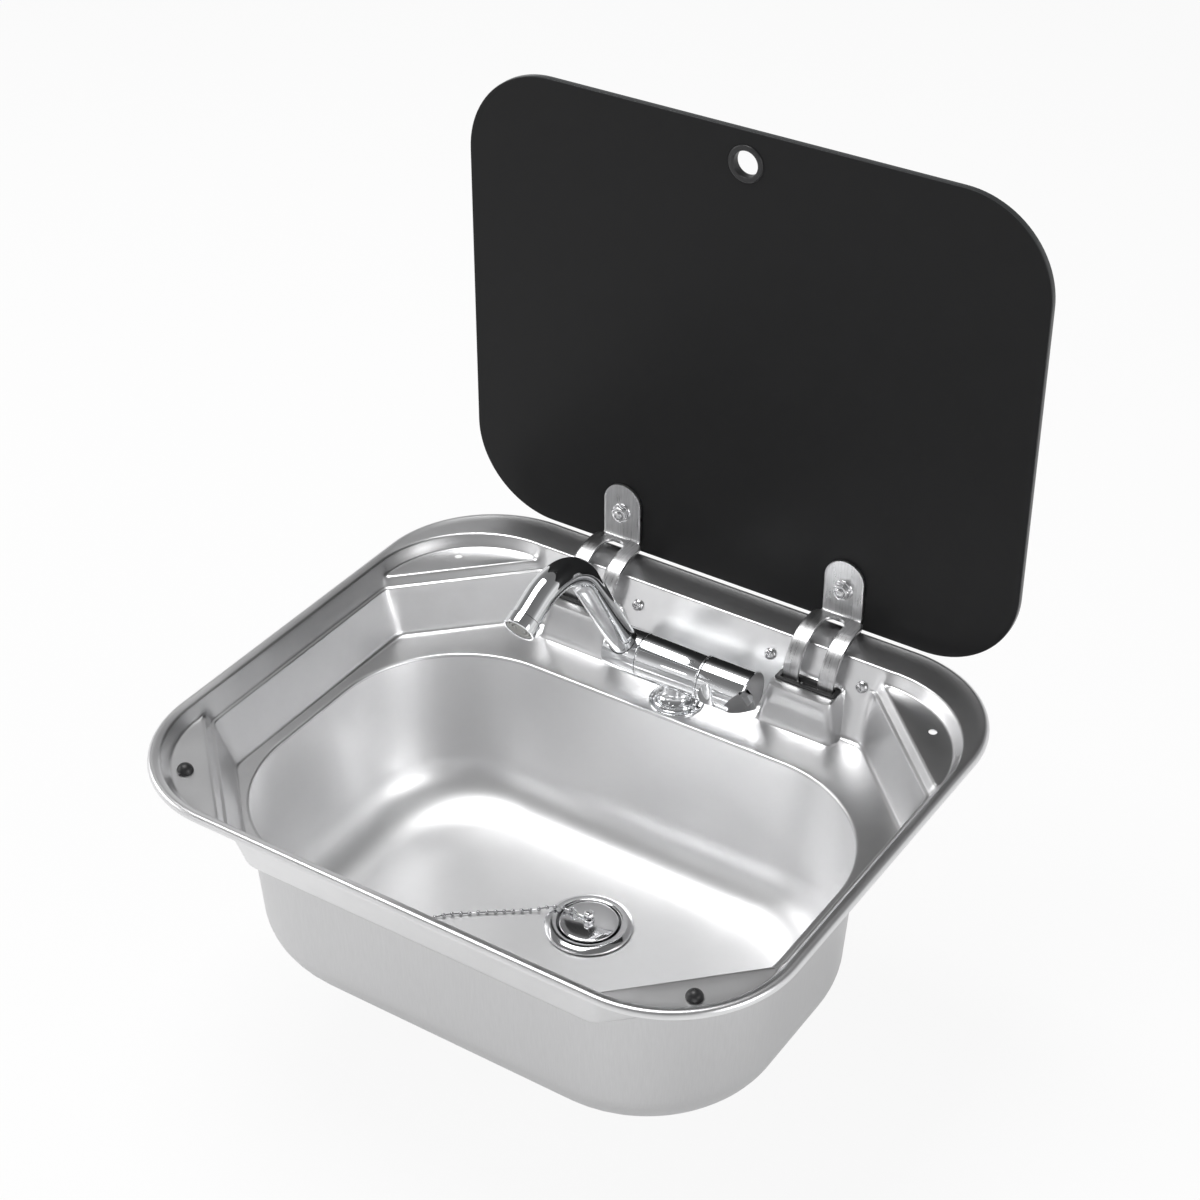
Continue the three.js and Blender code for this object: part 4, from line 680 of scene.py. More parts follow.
roll = [np.stack([reach(inset(RIM, by)), level(z)], 1) for by, z in RIM_ROLL]
corners = [
    (roll[-1][:, 0], level(RIM_ROLL[-1][1]), 0, 2),
    (edge_at, level(FLANGE_Z), 1.3, 1),
    (pad_a, pad_az, 1.2, 2),
    (pad_b, pad_bz, 1.5, 1),
    (step_at, level(STEP_Z), 0.7, 0),
    (ledge_at, level(LEDGE_Z), 0.8, 9),
    (wall_there, boss_top, 3.2, 3),
    (top_b, boss_top, 2.6, 0),
]
rows = roll[:-1] + rounded_rows(corners)
for k in range(1, 10):
    z = boss_top + (DECK_Z - boss_top) * k / 9
    front = np.where(on_boss, boss_front(z), top_b + (foot_c - top_b) * k / 9)
    rows.append(np.stack([front, z], 1))
lip = [(2.2, DECK_Z), (1.2, -41.05), (0.55, -41.3), (0.12, -41.8), (0.0, -42.4), (0.0, -43.0)]
rows += [np.stack([foot_c + (mouth_at + lip[0][0] - foot_c) * k / 4, level(DECK_Z)], 1)
         for k in (1, 2, 3)]
rows += [np.stack([mouth_at + by, level(z)], 1) for by, z in lip]
places = crossings(rows) * MM
print("blank of", places.shape[0], "rows and", places.shape[1], "columns")


# %% Press the blank
def pressed_sheet(name, places):
    """A flat grid whose crossings are moved to their places; the last column meets the first."""
    rows, columns = places.shape[:2]
    bpy.ops.object.select_all(action="DESELECT")
    bpy.ops.mesh.primitive_grid_add(x_subdivisions=columns, y_subdivisions=rows - 1, size=2)
    sheet = bpy.context.object
    flat = np.empty(len(sheet.data.vertices) * 3)
    sheet.data.vertices.foreach_get("co", flat)
    flat = flat.reshape(-1, 3)
    column = np.rint((flat[:, 0] + 1) / 2 * columns).astype(int) % columns
    row = np.rint((flat[:, 1] + 1) / 2 * (rows - 1)).astype(int)
    sheet.data.vertices.foreach_set("co", places[row, column].ravel())
    open_for_editing(sheet, "VERT")
    bpy.ops.mesh.select_all(action="SELECT")
    bpy.ops.mesh.remove_doubles(threshold=0.000004)
    close_editing(sheet)
    return place(sheet, name)


def face_up(sheet, at_height):
    """Turns the skin so that its level faces near a height look up."""
    sheet.data.update()
    level_faces = [f for f in sheet.data.polygons
                   if abs(f.center.z - at_height) < 0.0004 and abs(f.normal.z) > 0.9]
    if sum(f.normal.z * f.area for f in level_faces) < 0:
        sheet.data.flip_normals()
    return len(level_faces)


tray = pressed_sheet("tray_sheet", places)
print(face_up(tray, DECK_Z * MM), "faces of the deck look up")

# %% Soften the bosses, then give the sheet its thickness
open_for_editing(tray, "VERT")
softened = pick(tray, "verts", lambda v: (
    v.co.y > 0.117 and -0.0425 < v.co.z < -0.0125
    and abs(abs(v.co.x) - HINGE_X * MM) < 0.031
))
bpy.ops.mesh.vertices_smooth(factor=0.5, repeat=2)
close_editing(tray)
apply_modifier(tray, "SOLIDIFY", thickness=SHEET * MM, offset=-1.0, use_even_offset=True,
               thickness_clamp=0.8)
print(softened, "vertices softened;", len(tray.data.polygons), "faces")


# %% Cut the slots and the holes
def drill(at, radius, half_depth, sides=32, turn=None):
    bpy.ops.object.select_all(action="DESELECT")
    bpy.ops.mesh.primitive_cylinder_add(vertices=sides, radius=radius * MM,
                                        depth=2 * half_depth * MM)
    return place(bpy.context.object, "drill", Vector(at) * MM, turn)


def cutter_box(x0, x1, y0, y1, z0, z1):
    bpy.ops.object.select_all(action="DESELECT")
    bpy.ops.mesh.primitive_cube_add(size=1)
    box = bpy.context.object
    box.scale = ((x1 - x0) * MM, (y1 - y0) * MM, (z1 - z0) * MM)
    return place(box, "cutter", Vector((x0 + x1, y0 + y1, z0 + z1)) * MM / 2)


def cut(piece, cutters):
    tool = join(cutters, "tool")
    apply_modifier(piece, "BOOLEAN", operation="DIFFERENCE", solver="EXACT", object=tool)
    bpy.data.objects.remove(tool)


PAD_HOLE_X, PAD_HOLE_Y, PAD_HOLE = 172.0, 134.6, 2.6
TAP_X, TAP_Y, TAP_Z, TAP_HOLE = 4.0, 111.0, -15.3, 9.3
LINER_Y, LINER_ROOM_HALF, LINER_ROOM_DEEP, THROUGH = 139.0, 19.1, 3.6, 4.0
cutters = [
    cutter_box(s * HINGE_X - LINER_ROOM_HALF, s * HINGE_X + LINER_ROOM_HALF,
               LINER_Y - LINER_ROOM_DEEP, LINER_Y + LINER_ROOM_DEEP,
               BOSS["top"] - THROUGH, BOSS["top"] + THROUGH)
    for s in (-1, 1)
]
cutters += [drill((sx * PAD_HOLE_X, RECESS_Y + sy * PAD_HOLE_Y, PAD_Z), PAD_HOLE, THROUGH)
            for sx in (-1, 1) for sy in (-1, 1)]
cutters += [drill((TAP_X, TAP_Y, DECK_Z), TAP_HOLE, THROUGH)]
cut(tray, cutters)
smooth(tray, 32)


def belong(piece, body, node):
    """Says what a piece rides on and hides the CAD part it stands for."""
    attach(piece, body)
    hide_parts(node)
    print(piece.name, len(piece.data.polygons), "faces")
    return piece


def dress(piece, material, body, node):
    paint(piece, material)
    return belong(piece, body, node)


dress(tray, satin_steel, "basin", "tray")

# %% [markdown]
# ## The bowl
# The bowl is a second pressing, welded under the deck: a narrow flange, an upright wall that
# leans in a little so that the die lets go of it, a wide fillet and a flat floor with the hole of
# the waste. It is pressed like the tray, from every second column of the same blank, and its
# columns are carried on over the floor to the hole. Inside it is satin steel in a lighter colour
# than the tray's, which is painted light: it makes the bowl's floor and walls look more brightly
# lit.
# Outside the grinding belt left upright streaks, so the back of the sheet gets a finish of its own.

# %% Press the bowl
DRAIN_X, DRAIN_Y, DRAIN_HOLE = 6.0, 8.0, 22.0
FLOOR_Z, BOWL_FILLET = -150.0, 36.0
WALL_TOP, WALL_LEAN = (-0.9, -43.8), 3.25


def bowl_row(by, z):
    ring = inset(MOUTH, by, corner=max(MOUTH["corner"] - 0.6 * by, 20.0))
    return np.stack([reach(ring), level(z)], 1)


rows = [bowl_row(by, z) for by, z in ((-5.3, -42.1), (-3.0, -42.1), (-1.6, -42.3), (-1.05, -42.9))]
wall_foot = FLOOR_Z + BOWL_FILLET
for k in range(9):
    rows.append(bowl_row(WALL_TOP[0] + (WALL_LEAN - WALL_TOP[0]) * k / 9,
                         WALL_TOP[1] + (wall_foot - WALL_TOP[1]) * k / 9))
for k in range(17):
    a = math.radians(90 * k / 16)
    rows.append(bowl_row(WALL_LEAN + BOWL_FILLET * (1 - math.cos(a)),
                         wall_foot - BOWL_FILLET * math.sin(a)))
places = crossings(rows)
foot = places[-1]
towards = np.arctan2(foot[:, 1] - DRAIN_Y, foot[:, 0] - DRAIN_X)
hole = np.stack([DRAIN_X + DRAIN_HOLE * np.cos(towards), DRAIN_Y + DRAIN_HOLE * np.sin(towards),
                 foot[:, 2]], 1)
floor_rows = np.stack([foot + (hole - foot) * k / 8 for k in range(1, 9)])
places = np.concatenate([places, floor_rows])[:, ::2] * MM
bowl = pressed_sheet("bowl_sheet", places)
print(face_up(bowl, FLOOR_Z * MM), "faces of the floor look up")

# %% Thickness and the two finishes of the bowl
# Inside: the brighter steel, whose lighter colour is painted light; outside: the belt-streaked
# steel.
paint(bowl, bright_painted_bowl_steel)
bowl.data.materials.append(belt_steel)
apply_modifier(bowl, "SOLIDIFY", thickness=SHEET * MM, offset=-1.0, use_even_offset=True,
               material_offset=1, material_offset_rim=0)
smooth(bowl, 32)
belong(bowl, "basin", "bowl")

# %% [markdown]
# ## Turned pieces
# Screws, rings, the barrels of the tap and the drain are round, and a lathe makes them. The
# helper does what a hand would do: one corner of a plane is kept, drawn out point by point along
# the outline and spun once round the axis. A small bevel then breaks the sharp edges, because a
# turned edge always catches a line of light.

# %% The lathe
ALONG_X = Matrix.Rotation(math.radians(90), 4, "Y")
TO_FRONT = Matrix.Rotation(math.radians(90), 4, "X")


def break_edges(piece, width, segments, degrees):
    """Bevels each edge sharper than some degrees, by a width in millimetres."""
    apply_modifier(piece, "BEVEL", width=width * MM, segments=segments, limit_method="ANGLE",
                   angle_limit=math.radians(degrees))


def turned(name, outline, sides=48, edge=0.25, at=(0, 0, 0), turn=None):
    """Spins (radius, height) points, in millimetres, round +Z, then turns and places the piece."""
    bpy.ops.object.select_all(action="DESELECT")
    bpy.ops.mesh.primitive_plane_add(size=2 * MM)
    piece = bpy.context.object
    open_for_editing(piece, "VERT")
    pick(piece, "verts", lambda v: v.co.x > 0 or v.co.y > 0)
    bpy.ops.mesh.delete(type="VERT")
    bpy.ops.mesh.select_all(action="SELECT")
    radius, height_there = outline[0]
    bpy.ops.transform.translate(value=((radius + 1) * MM, MM, height_there * MM))
    for (r0, z0), (r1, z1) in zip(outline, outline[1:]):
        step = ((r1 - r0) * MM, 0, (z1 - z0) * MM)
        bpy.ops.mesh.extrude_region_move(TRANSFORM_OT_translate={"value": step})
    bpy.ops.mesh.select_all(action="SELECT")
    bpy.ops.mesh.spin(steps=sides, angle=math.tau, center=(0, 0, 0), axis=(0, 0, 1))
    bpy.ops.mesh.select_all(action="SELECT")
    bpy.ops.mesh.remove_doubles(threshold=0.000008)
    bpy.ops.mesh.normals_make_consistent(inside=False)
    close_editing(piece)
    if edge:
        break_edges(piece, edge, 2, 28)
    smooth(piece, 35)
    return place(piece, name, Vector(at) * MM, turn)


def arc(centre_r, centre_z, radius, start, end, steps=6):
    """Outline points on a round of the turned piece, angles in degrees from +radius."""
    return [(centre_r + radius * math.cos(math.radians(start + (end - start) * i / steps)),
             centre_z + radius * math.sin(math.radians(start + (end - start) * i / steps)))
            for i in range(steps + 1)]


def second_finish(piece, material, test):
    """Gives the faces that pass a test another finish."""
    piece.data.materials.append(material)
    for face in piece.data.polygons:
        if test(face):
            face.material_index = len(piece.data.materials) - 1


# %% [markdown]
# ## The glass lid
# The lid is a sheet of black tempered glass with ground and polished edges. It starts as a box:
# its four upright corners are bevelled into wide rounds, and the edges of both faces get a narrow
# bevel that catches a line of light. The holes are drilled last, and weighted normals keep the
# wide faces flat up to the bevel. The faces look evenly black, so the glass is a dark surface
# with a weak, soft gloss, and no see-through part.

# %% Glass and its holes
PIVOT_Y, PIVOT_Z = 166.0, -14.4
GLASS_FRONT, GLASS_BACK = 181.6, 185.6
LID_BOTTOM, LID_TOP, LID_HALF, LID_CORNER = 5.6, 314.0, 194.0, 58.5
FINGER_Z, FINGER_HOLE, BOLT_Z, BOLT_HOLE = 293.5, 10.2, 32.5, 4.0
glass = cutter_box(-LID_HALF, LID_HALF, GLASS_FRONT, GLASS_BACK, LID_BOTTOM, LID_TOP)
glass.name = glass.data.name = "lid_glass_sheet"
open_for_editing(glass, "EDGE")
corners_found = pick(glass, "edges", lambda e: abs(e.verts[0].co.y - e.verts[1].co.y) > 0.003)
bpy.ops.mesh.bevel(offset=LID_CORNER * MM, offset_type="OFFSET", segments=24, affect="EDGES")
close_editing(glass)
holes = [drill((0, GLASS_FRONT, FINGER_Z), FINGER_HOLE, 20, 64, TO_FRONT)]
holes += [drill((s * HINGE_X, GLASS_FRONT, BOLT_Z), BOLT_HOLE, 20, 32, TO_FRONT)
          for s in (-1, 1)]
cut(glass, holes)
break_edges(glass, 0.55, 2, 50)
smooth(glass, 28)
apply_modifier(glass, "WEIGHTED_NORMAL", weight=100, keep_sharp=True)
glass_edge = matt_finish("glass_edge", (0.030, 0.032, 0.033), 0.22, 0.50, 400, 0.10, 0.02)
dress(glass, black_glass, "lid", "lid_glass")
second_finish(glass, glass_edge, lambda f: abs(f.normal.y) < 0.97)
print(corners_found, "corners rounded")

# %% Grommet in the finger hole
BORE, COLLAR, LIP = 8.0, 11.6, 1.1
half_glass = (GLASS_BACK - GLASS_FRONT) / 2
lip_front = half_glass + LIP
outline = [(BORE, -lip_front + 0.9), (BORE, lip_front - 0.9)]
outline += arc(BORE + 0.9, lip_front - 0.9, 0.9, 180, 90, 4)[1:]
outline += arc(COLLAR - 1.0, lip_front - 1.0, 1.0, 90, 0, 4)
outline += [(COLLAR, half_glass + 0.05), (10.0, half_glass + 0.05), (10.0, -half_glass - 0.05),
            (COLLAR, -half_glass - 0.05)]
outline += arc(COLLAR - 1.0, -lip_front + 1.0, 1.0, 0, -90, 4)
outline += arc(BORE + 0.9, -lip_front + 0.9, 0.9, -90, -180, 4)
grommet = turned("finger_grommet_ring", outline, 64, 0,
                 (0, GLASS_FRONT + half_glass, FINGER_Z), TO_FRONT)
dress(grommet, black_rubber, "lid", "finger_grommet")

# %% [markdown]
# ## The gooseneck brackets
# Each bracket is cut from 2 mm steel as a wide strip with a slot up its middle, then bent: a
# tongue stands flat against the glass, folds forward, and the two legs curl round the hinge pin
# into the slot of the tray. A flat grid is the strip. Its rows run along the bend and its columns
# across the two legs; where the slot ends in an arch the two halves meet. Solidify gives the
# thickness and a bevel the soft sheared edges.

# %% One bracket, bent from a strip
ARM_RADIUS, ARM_SHEET, ARM_HALF, ARM_GAP_HALF = 27.0, 2.0, 17.5, 7.0
TONGUE_HALF, TONGUE_TOP, ARM_END = 13.5, 52.4, 196.0
TONGUE_Y, FOLD_RADIUS = 14.0, 2.4
ARCH_Y = 2.0


def bend_stations():
    """(y, z, half width, half gap) along the middle of the sheet, from the tongue's top."""
    stations = []
    top = TONGUE_TOP - PIVOT_Z
    for i in range(17):
        a = math.radians(90 - 90 * i / 16)
        stations.append((TONGUE_Y, top - TONGUE_HALF * (1 - math.sin(a)),
                         TONGUE_HALF * math.cos(a), 0.0))
    for z in (50.0, 44.0, 38.0, 32.5, ARM_RADIUS + FOLD_RADIUS):
        stations.append((TONGUE_Y, z, TONGUE_HALF, 0.0))
    for i in range(1, 6):
        a = math.radians(90 * i / 6)
        stations.append((TONGUE_Y - FOLD_RADIUS * (1 - math.cos(a)),
                         ARM_RADIUS + FOLD_RADIUS * (1 - math.sin(a)), TONGUE_HALF, 0.0))
    for i in range(25):
        y = TONGUE_Y - FOLD_RADIUS - (TONGUE_Y - FOLD_RADIUS) * i / 24
        inward = min(1.0, (TONGUE_Y - FOLD_RADIUS - y) / 6.5)
        half = TONGUE_HALF + (ARM_HALF - TONGUE_HALF) * math.sqrt(1 - (1 - inward) ** 2)
        gap = math.sqrt(max(0.0, ARM_GAP_HALF ** 2 - max(0.0, y - ARCH_Y) ** 2))
        stations.append((y, ARM_RADIUS, half, gap if y < ARCH_Y + ARM_GAP_HALF else 0.0))
    for i in range(1, 49):
        a = math.radians(90 + (ARM_END - 90) * i / 48)
        stations.append((ARM_RADIUS * math.cos(a), ARM_RADIUS * math.sin(a),
                         ARM_HALF, ARM_GAP_HALF))
    return stations


def bracket_sheet(name):
    stations = bend_stations()
    across_count = 8
    bpy.ops.object.select_all(action="DESELECT")
    bpy.ops.mesh.primitive_grid_add(x_subdivisions=2 * across_count + 1,
                                    y_subdivisions=len(stations) - 1, size=2)
    strip = bpy.context.object
    for vertex in strip.data.vertices:
        column = round((vertex.co.x + 1) / 2 * (2 * across_count + 1))
        y, z, half, gap = stations[round((vertex.co.y + 1) / 2 * (len(stations) - 1))]
        left = column <= across_count
        share = (across_count - column if left else column - across_count - 1) / across_count
        x = (gap + (half - gap) * share) * (-1 if left else 1)
        vertex.co = Vector((x, y + PIVOT_Y, z + PIVOT_Z)) * MM
    open_for_editing(strip, "FACE")
    middle_faces = pick(strip, "faces", lambda f: (
        max(v.co.x for v in f.verts) > 0.0001 and min(v.co.x for v in f.verts) < -0.0001))
    bpy.ops.mesh.delete(type="FACE")
    bpy.ops.mesh.select_all(action="SELECT")
    bpy.ops.mesh.remove_doubles(threshold=0.00002)
    bpy.ops.mesh.normals_make_consistent(inside=False)
    close_editing(strip)
    apply_modifier(strip, "SOLIDIFY", thickness=ARM_SHEET * MM, offset=0.0, use_even_offset=True)
    print(middle_faces, "faces of the slot taken out")
    return place(strip, name)


bracket = bracket_sheet("bracket")
cut(bracket, [drill((0, PIVOT_Y + TONGUE_Y, BOLT_Z), 3.3, 6, 32, TO_FRONT)])
break_edges(bracket, 0.3, 2, 50)
smooth(bracket, 32)

# %% Webs and eyes that carry the legs on the pin
SIDES = ((-1, "left"), (1, "right"))
LEG_HALF = (ARM_HALF - ARM_GAP_HALF) / 2
EYE_BORE, EYE_RADIUS = 2.75, 4.6
legs = [bracket]
for side, _ in SIDES:
    x = side * (ARM_GAP_HALF + ARM_HALF) / 2
    eye = turned("eye", [(EYE_BORE, -LEG_HALF), (EYE_RADIUS, -LEG_HALF), (EYE_RADIUS, LEG_HALF),
                         (EYE_BORE, LEG_HALF), (EYE_BORE, -LEG_HALF)], 32, 0.3,
                 (x, PIVOT_Y, PIVOT_Z), ALONG_X)
    web = cutter_box(x - LEG_HALF, x + LEG_HALF, -ARM_RADIUS - 0.6, 1 - EYE_RADIUS, -1.0, 1.0)
    web.data.transform(Matrix.Rotation(math.radians(ARM_END - 180) - 0.035, 4, "X"))
    place(web, "web", Vector((0, PIVOT_Y, PIVOT_Z)) * MM)
    legs += [eye, web]
bracket = join(legs, "bracket")
for side, name in SIDES:
    piece = copy_of(bracket, f"bracket_{name}", (side * HINGE_X * MM, 0, 0))
    dress(piece, leg_steel, "lid", f"lid_bracket_{name}")
bpy.data.objects.remove(bracket)

# %% [markdown]
# ## Nuts and bolts of the lid
# A domed bolt comes through the glass from behind, and a flanged nut holds the bracket in front.
# The nut is a six-sided turned piece on a round flange, and the bolt's end shows its thread as
# fine rings. One of each is made, and the other hinge gets a copy with a mesh of its own.

# %% Nut and bolt
NUT_FACE, NUT_TURN, BOLT_SEAT = 2.6, 0.3, -5.0
hexagon = turned("hexagon", [
    (3.1, 5.0), (4.7, 5.0), (5.4, 4.7), (5.77, 4.2), (5.77, 0.9), (3.1, 0.9), (3.1, 5.0),
], 6, 0.2)
collar = turned("collar", [
    (3.1, 1.3), (5.2, 1.6), (6.1, 1.3), (6.6, 0.7), (6.6, 0), (3.1, 0), (3.1, 1.3),
], 40, 0.1)
nut = join([hexagon, collar], "nut")
thread = [(0, 9.8), (2.2, 9.8), (2.5, 9.6)]
for k in range(5):
    thread += [(2.95, 9.4 - 0.5 * k), (2.65, 9.15 - 0.5 * k)]
head = [(2.95, 7.0), (2.95, BOLT_SEAT), (8.0, BOLT_SEAT), (8.0, BOLT_SEAT - 0.4)]
head += arc(0, BOLT_SEAT + 7.2, 10.1, -38, -90, 8)[1:]
bolt = turned("bolt", thread + head, 40, 0)
for side, name in SIDES:
    at = Vector((side * HINGE_X, GLASS_FRONT, BOLT_Z)) * MM
    piece = copy_of(nut, f"nut_{name}", at - Vector((0, NUT_FACE * MM, 0)),
                    TO_FRONT @ Matrix.Rotation(NUT_TURN * side, 4, "Z"))
    dress(piece, nickel, "lid", f"lid_nut_{name}")
    piece = copy_of(bolt, f"bolt_{name}", at, TO_FRONT)
    dress(piece, nickel, "lid", f"lid_bolt_{name}")
for spare in (nut, bolt):
    bpy.data.objects.remove(spare)

# %% [markdown]
# ## Screws, slot liners and bumpers
# The hinge housings hang behind the back wall on pan-head screws with a cross recess. Each slot
# in a boss is lined with a black moulding whose raised lip covers the cut edge of the steel. Two
# rubber bumpers with domed heads stand on the front pads, where the closed lid rests.

# %% Pan-head screw with a cross recess
SCREW_SPREAD, SCREW_Z, SCREW_PROUD = 32.0, -10.0, 0.42
WALL_LEAN_BACK = math.atan2(EDGE["back"] - DECK["back"], FLANGE_Z - DECK_Z)
SQUARE_TO_WALL = Matrix.Rotation(math.pi / 2 - WALL_LEAN_BACK, 4, "X")
SCREW_Y = EDGE["back"] + (DECK["back"] - EDGE["back"]) * (FLANGE_Z - SCREW_Z) / (FLANGE_Z - DECK_Z)
pan = [(0, 2.35), (1.4, 2.3), (2.5, 2.05), (3.3, 1.5), (3.75, 0.7), (3.8, 0.0), (1.75, 0.0),
       (1.75, -9.5), (0, -11.4)]
screw = turned("screw", pan, 40, 0.08)
CROSS_REACH, CROSS_HALF = 2.0, 0.42
cross = [cutter_box(-a, a, -b, b, 1.0, 4)
         for a, b in ((CROSS_REACH, CROSS_HALF), (CROSS_HALF, CROSS_REACH))]
cross.append(turned("cross_middle", [(0, 3.0), (1.1, 3.0), (0.35, 0.7), (0, 0.7)], 16, 0))
for cutter in cross:
    cut(screw, [cutter])
smooth(screw, 30)
for side, name in SIDES:
    for sign, end in ((side, "outer"), (-side, "inner")):
        at = Vector((side * HINGE_X + sign * SCREW_SPREAD, SCREW_Y, SCREW_Z)) * MM
        proud = Matrix.Translation((0, 0, SCREW_PROUD * MM))
        tightened = Matrix.Rotation(0.5 + 0.4 * sign + side, 4, "Z")
        piece = copy_of(screw, f"screw_{name}_{end}", at, SQUARE_TO_WALL @ proud @ tightened)
        dress(piece, nickel, "basin", f"hinge_screw_{name}_{end}")
bpy.data.objects.remove(screw)

# %% Slot liner with a raised lip
SLOT_HALF, SLOT_DEEP, LINER_WALL, LINER_LIP = 18.0, 5.0, 0.8, 3.0


def liner_box(grow, low, high):
    """A box round the slot, its ends measured from the top of the boss."""
    deep = SLOT_DEEP / 2 + grow
    return cutter_box(-SLOT_HALF - grow, SLOT_HALF + grow, LINER_Y - deep, LINER_Y + deep,
                      BOSS["top"] + low, BOSS["top"] + high)


def weld(piece, other):
    apply_modifier(piece, "BOOLEAN", operation="UNION", solver="EXACT", object=other)
    bpy.data.objects.remove(other)


lip = liner_box(LINER_LIP, 0.02, 1.2)
open_for_editing(lip, "EDGE")
pick(lip, "edges", lambda e: abs(e.verts[0].co.z - e.verts[1].co.z) > 0.0005)
bpy.ops.mesh.bevel(offset=2.2 * MM, segments=5, affect="EDGES")
close_editing(lip)
weld(lip, liner_box(LINER_WALL, -2.2, 0.5))
cut(lip, [liner_box(0, -9, 9)])
break_edges(lip, 0.38, 3, 40)
smooth(lip, 35)
for side, name in SIDES:
    piece = copy_of(lip, f"liner_{name}", (side * HINGE_X * MM, 0, 0))
    dress(piece, black_plastic, "basin", f"slot_liner_{name}")
bpy.data.objects.remove(lip)

# %% Rubber bumpers
dome = [(0, 5.2)] + arc(0, 0.2, 5.0, 80, 12, 10)
dome += [(4.95, 0.5), (4.7, 0.0), (2.2, 0.0), (2.2, -1.4), (3.3, -1.6), (2.2, -3.8), (0, -3.8)]
bumper = turned("bumper", dome, 40, 0.1)
for side, name in SIDES:
    piece = copy_of(bumper, f"bumper_{name}",
                    Vector((side * PAD_HOLE_X, RECESS_Y - PAD_HOLE_Y, PAD_Z)) * MM)
    dress(piece, black_rubber, "basin", f"lid_bumper_{name}")
bpy.data.objects.remove(bumper)

# %% [markdown]
# ## The folding tap
# A level barrel stands on a short neck and a stepped ring. Its left end, the hub, turns with the
# spout, so that the tap folds flat below the closed lid. Its right end is the knob, hollowed
# behind a collar and underneath, and cut to a slope at its end, so that a thumb can push it
# round. The barrels are turned, drills cut the hollows, which gives the sharp curved edges of the
# real ones, and a straight block cuts the slope.

# %% Body, neck and base ring
TAP_RADIUS, TAP_LEFT, TAP_RIGHT = 14.6, -19.0, 25.5
HUB_LEFT, KNOB_END, KNOB_RADIUS, RISE_GAP = -43.5, 57.5, 15.1, 0.3
ON_BARREL = dict(at=(0, TAP_Y, TAP_Z), turn=ALONG_X)
body = turned("tap_barrel", [
    (0, TAP_RIGHT), (TAP_RADIUS - 0.2, TAP_RIGHT), (TAP_RADIUS + 0.25, TAP_RIGHT - 0.4),
    (TAP_RADIUS + 0.25, TAP_RIGHT - 1.1), (TAP_RADIUS, TAP_RIGHT - 1.3),
    (TAP_RADIUS, TAP_LEFT + 1.3), (TAP_RADIUS + 0.2, TAP_LEFT + 1.1),
    (TAP_RADIUS + 0.2, TAP_LEFT + 0.4), (TAP_RADIUS - 0.2, TAP_LEFT),
    (8, TAP_LEFT), (8, HUB_LEFT + 5), (0, HUB_LEFT + 5),
], 96, 0.12, **ON_BARREL)
neck_foot = DECK_Z + 3.7
neck = turned("neck", [(0, TAP_Z - 4), (9.2, TAP_Z - 4), (9.2, neck_foot + 6.5)]
              + arc(15.4, neck_foot + 6.2, 6.2, 180, 244, 8)
              + [(12.7, neck_foot + 0.3), (12.4, neck_foot), (0, neck_foot)],
              72, 0.12, at=(TAP_X, TAP_Y, 0))
weld(body, neck)
smooth(body, 30)
dress(body, chrome, "basin", "tap_body")
base = turned("tap_base", [(9.3, 3.4), (12.8, 3.4), (13.3, 3.2)] + arc(16.0, 4.1, 2.6, 200, 262, 5)
              + [(16.5, 1.5), (17.1, 1.3), (17.5, 0.8), (17.5, 0), (9.3, 0), (9.3, 3.4)],
              96, 0.1, at=(TAP_X, TAP_Y, DECK_Z))
dress(base, chrome, "basin", "tap_base_ring")

# %% Knob with its hollows
start = TAP_RIGHT + RISE_GAP
COLLAR_WIDTH, COLLAR_HOLLOW, LOWER_HOLLOW, SPINDLE_HOLE = 2.2, 5.5, 9.0, 3.55
knob = turned("tap_knob_barrel", [
    (0, KNOB_END), (KNOB_RADIUS - 0.5, KNOB_END), (KNOB_RADIUS, KNOB_END - 0.5),
    (KNOB_RADIUS, start + 0.6), (KNOB_RADIUS - 0.5, start), (0, start),
], 96, 0, **ON_BARREL)


def off_axis(x, degrees, reach_out):
    """A point beside the knob's axis: degrees go from the back, over the top, forward."""
    turn = math.radians(degrees)
    return (x, TAP_Y + reach_out * math.cos(turn), TAP_Z + reach_out * math.sin(turn))


behind_collar = start + COLLAR_WIDTH + COLLAR_HOLLOW
past_end = KNOB_END + 5
cutters = [
    drill(off_axis(behind_collar, 195, KNOB_RADIUS + 1.4), COLLAR_HOLLOW, 30, 128,
          Matrix.Rotation(math.radians(195), 4, "X")),
    drill(off_axis((behind_collar + past_end) / 2, 210, KNOB_RADIUS + 7.1), LOWER_HOLLOW,
          (past_end - behind_collar) / 2, 96, ALONG_X),
    drill((start + 2, TAP_Y, TAP_Z), SPINDLE_HOLE, 9.3, 32, ALONG_X),
]
for cutter in cutters:
    cut(knob, [cutter])

# %% Slope for the thumb at the knob's end
FACING = math.radians(215)
outward = Vector((0, math.cos(FACING), math.sin(FACING)))
sideways = Vector((0, -math.sin(FACING), math.cos(FACING)))
RIDGE_OUT, SLOPE_LONG, SLOPE_DEEP, RIDGE_ROUND = 3.5, 12.2, 11.6, 3.2
ridge = Vector((KNOB_END, TAP_Y, TAP_Z)) + outward * RIDGE_OUT
slope = (outward * SLOPE_LONG + Vector((SLOPE_DEEP, 0, 0))).normalized()
block = cutter_box(-40, 40, -40, 40, 0, 40)
place(block, "block", ridge * MM, slope.to_track_quat("Z", "Y").to_matrix().to_4x4())
cut(knob, [block])
open_for_editing(knob, "EDGE")
found = pick(knob, "edges", lambda e: all(
    abs((v.co / MM - ridge).dot(outward)) < 0.03 and abs(v.co.x / MM - KNOB_END) < 0.03
    for v in e.verts))
bpy.ops.mesh.bevel(offset=RIDGE_ROUND * MM, segments=10, affect="EDGES")
close_editing(knob)
break_edges(knob, 0.35, 3, 40)
smooth(knob, 30)
apply_modifier(knob, "WEIGHTED_NORMAL", weight=60, keep_sharp=True)
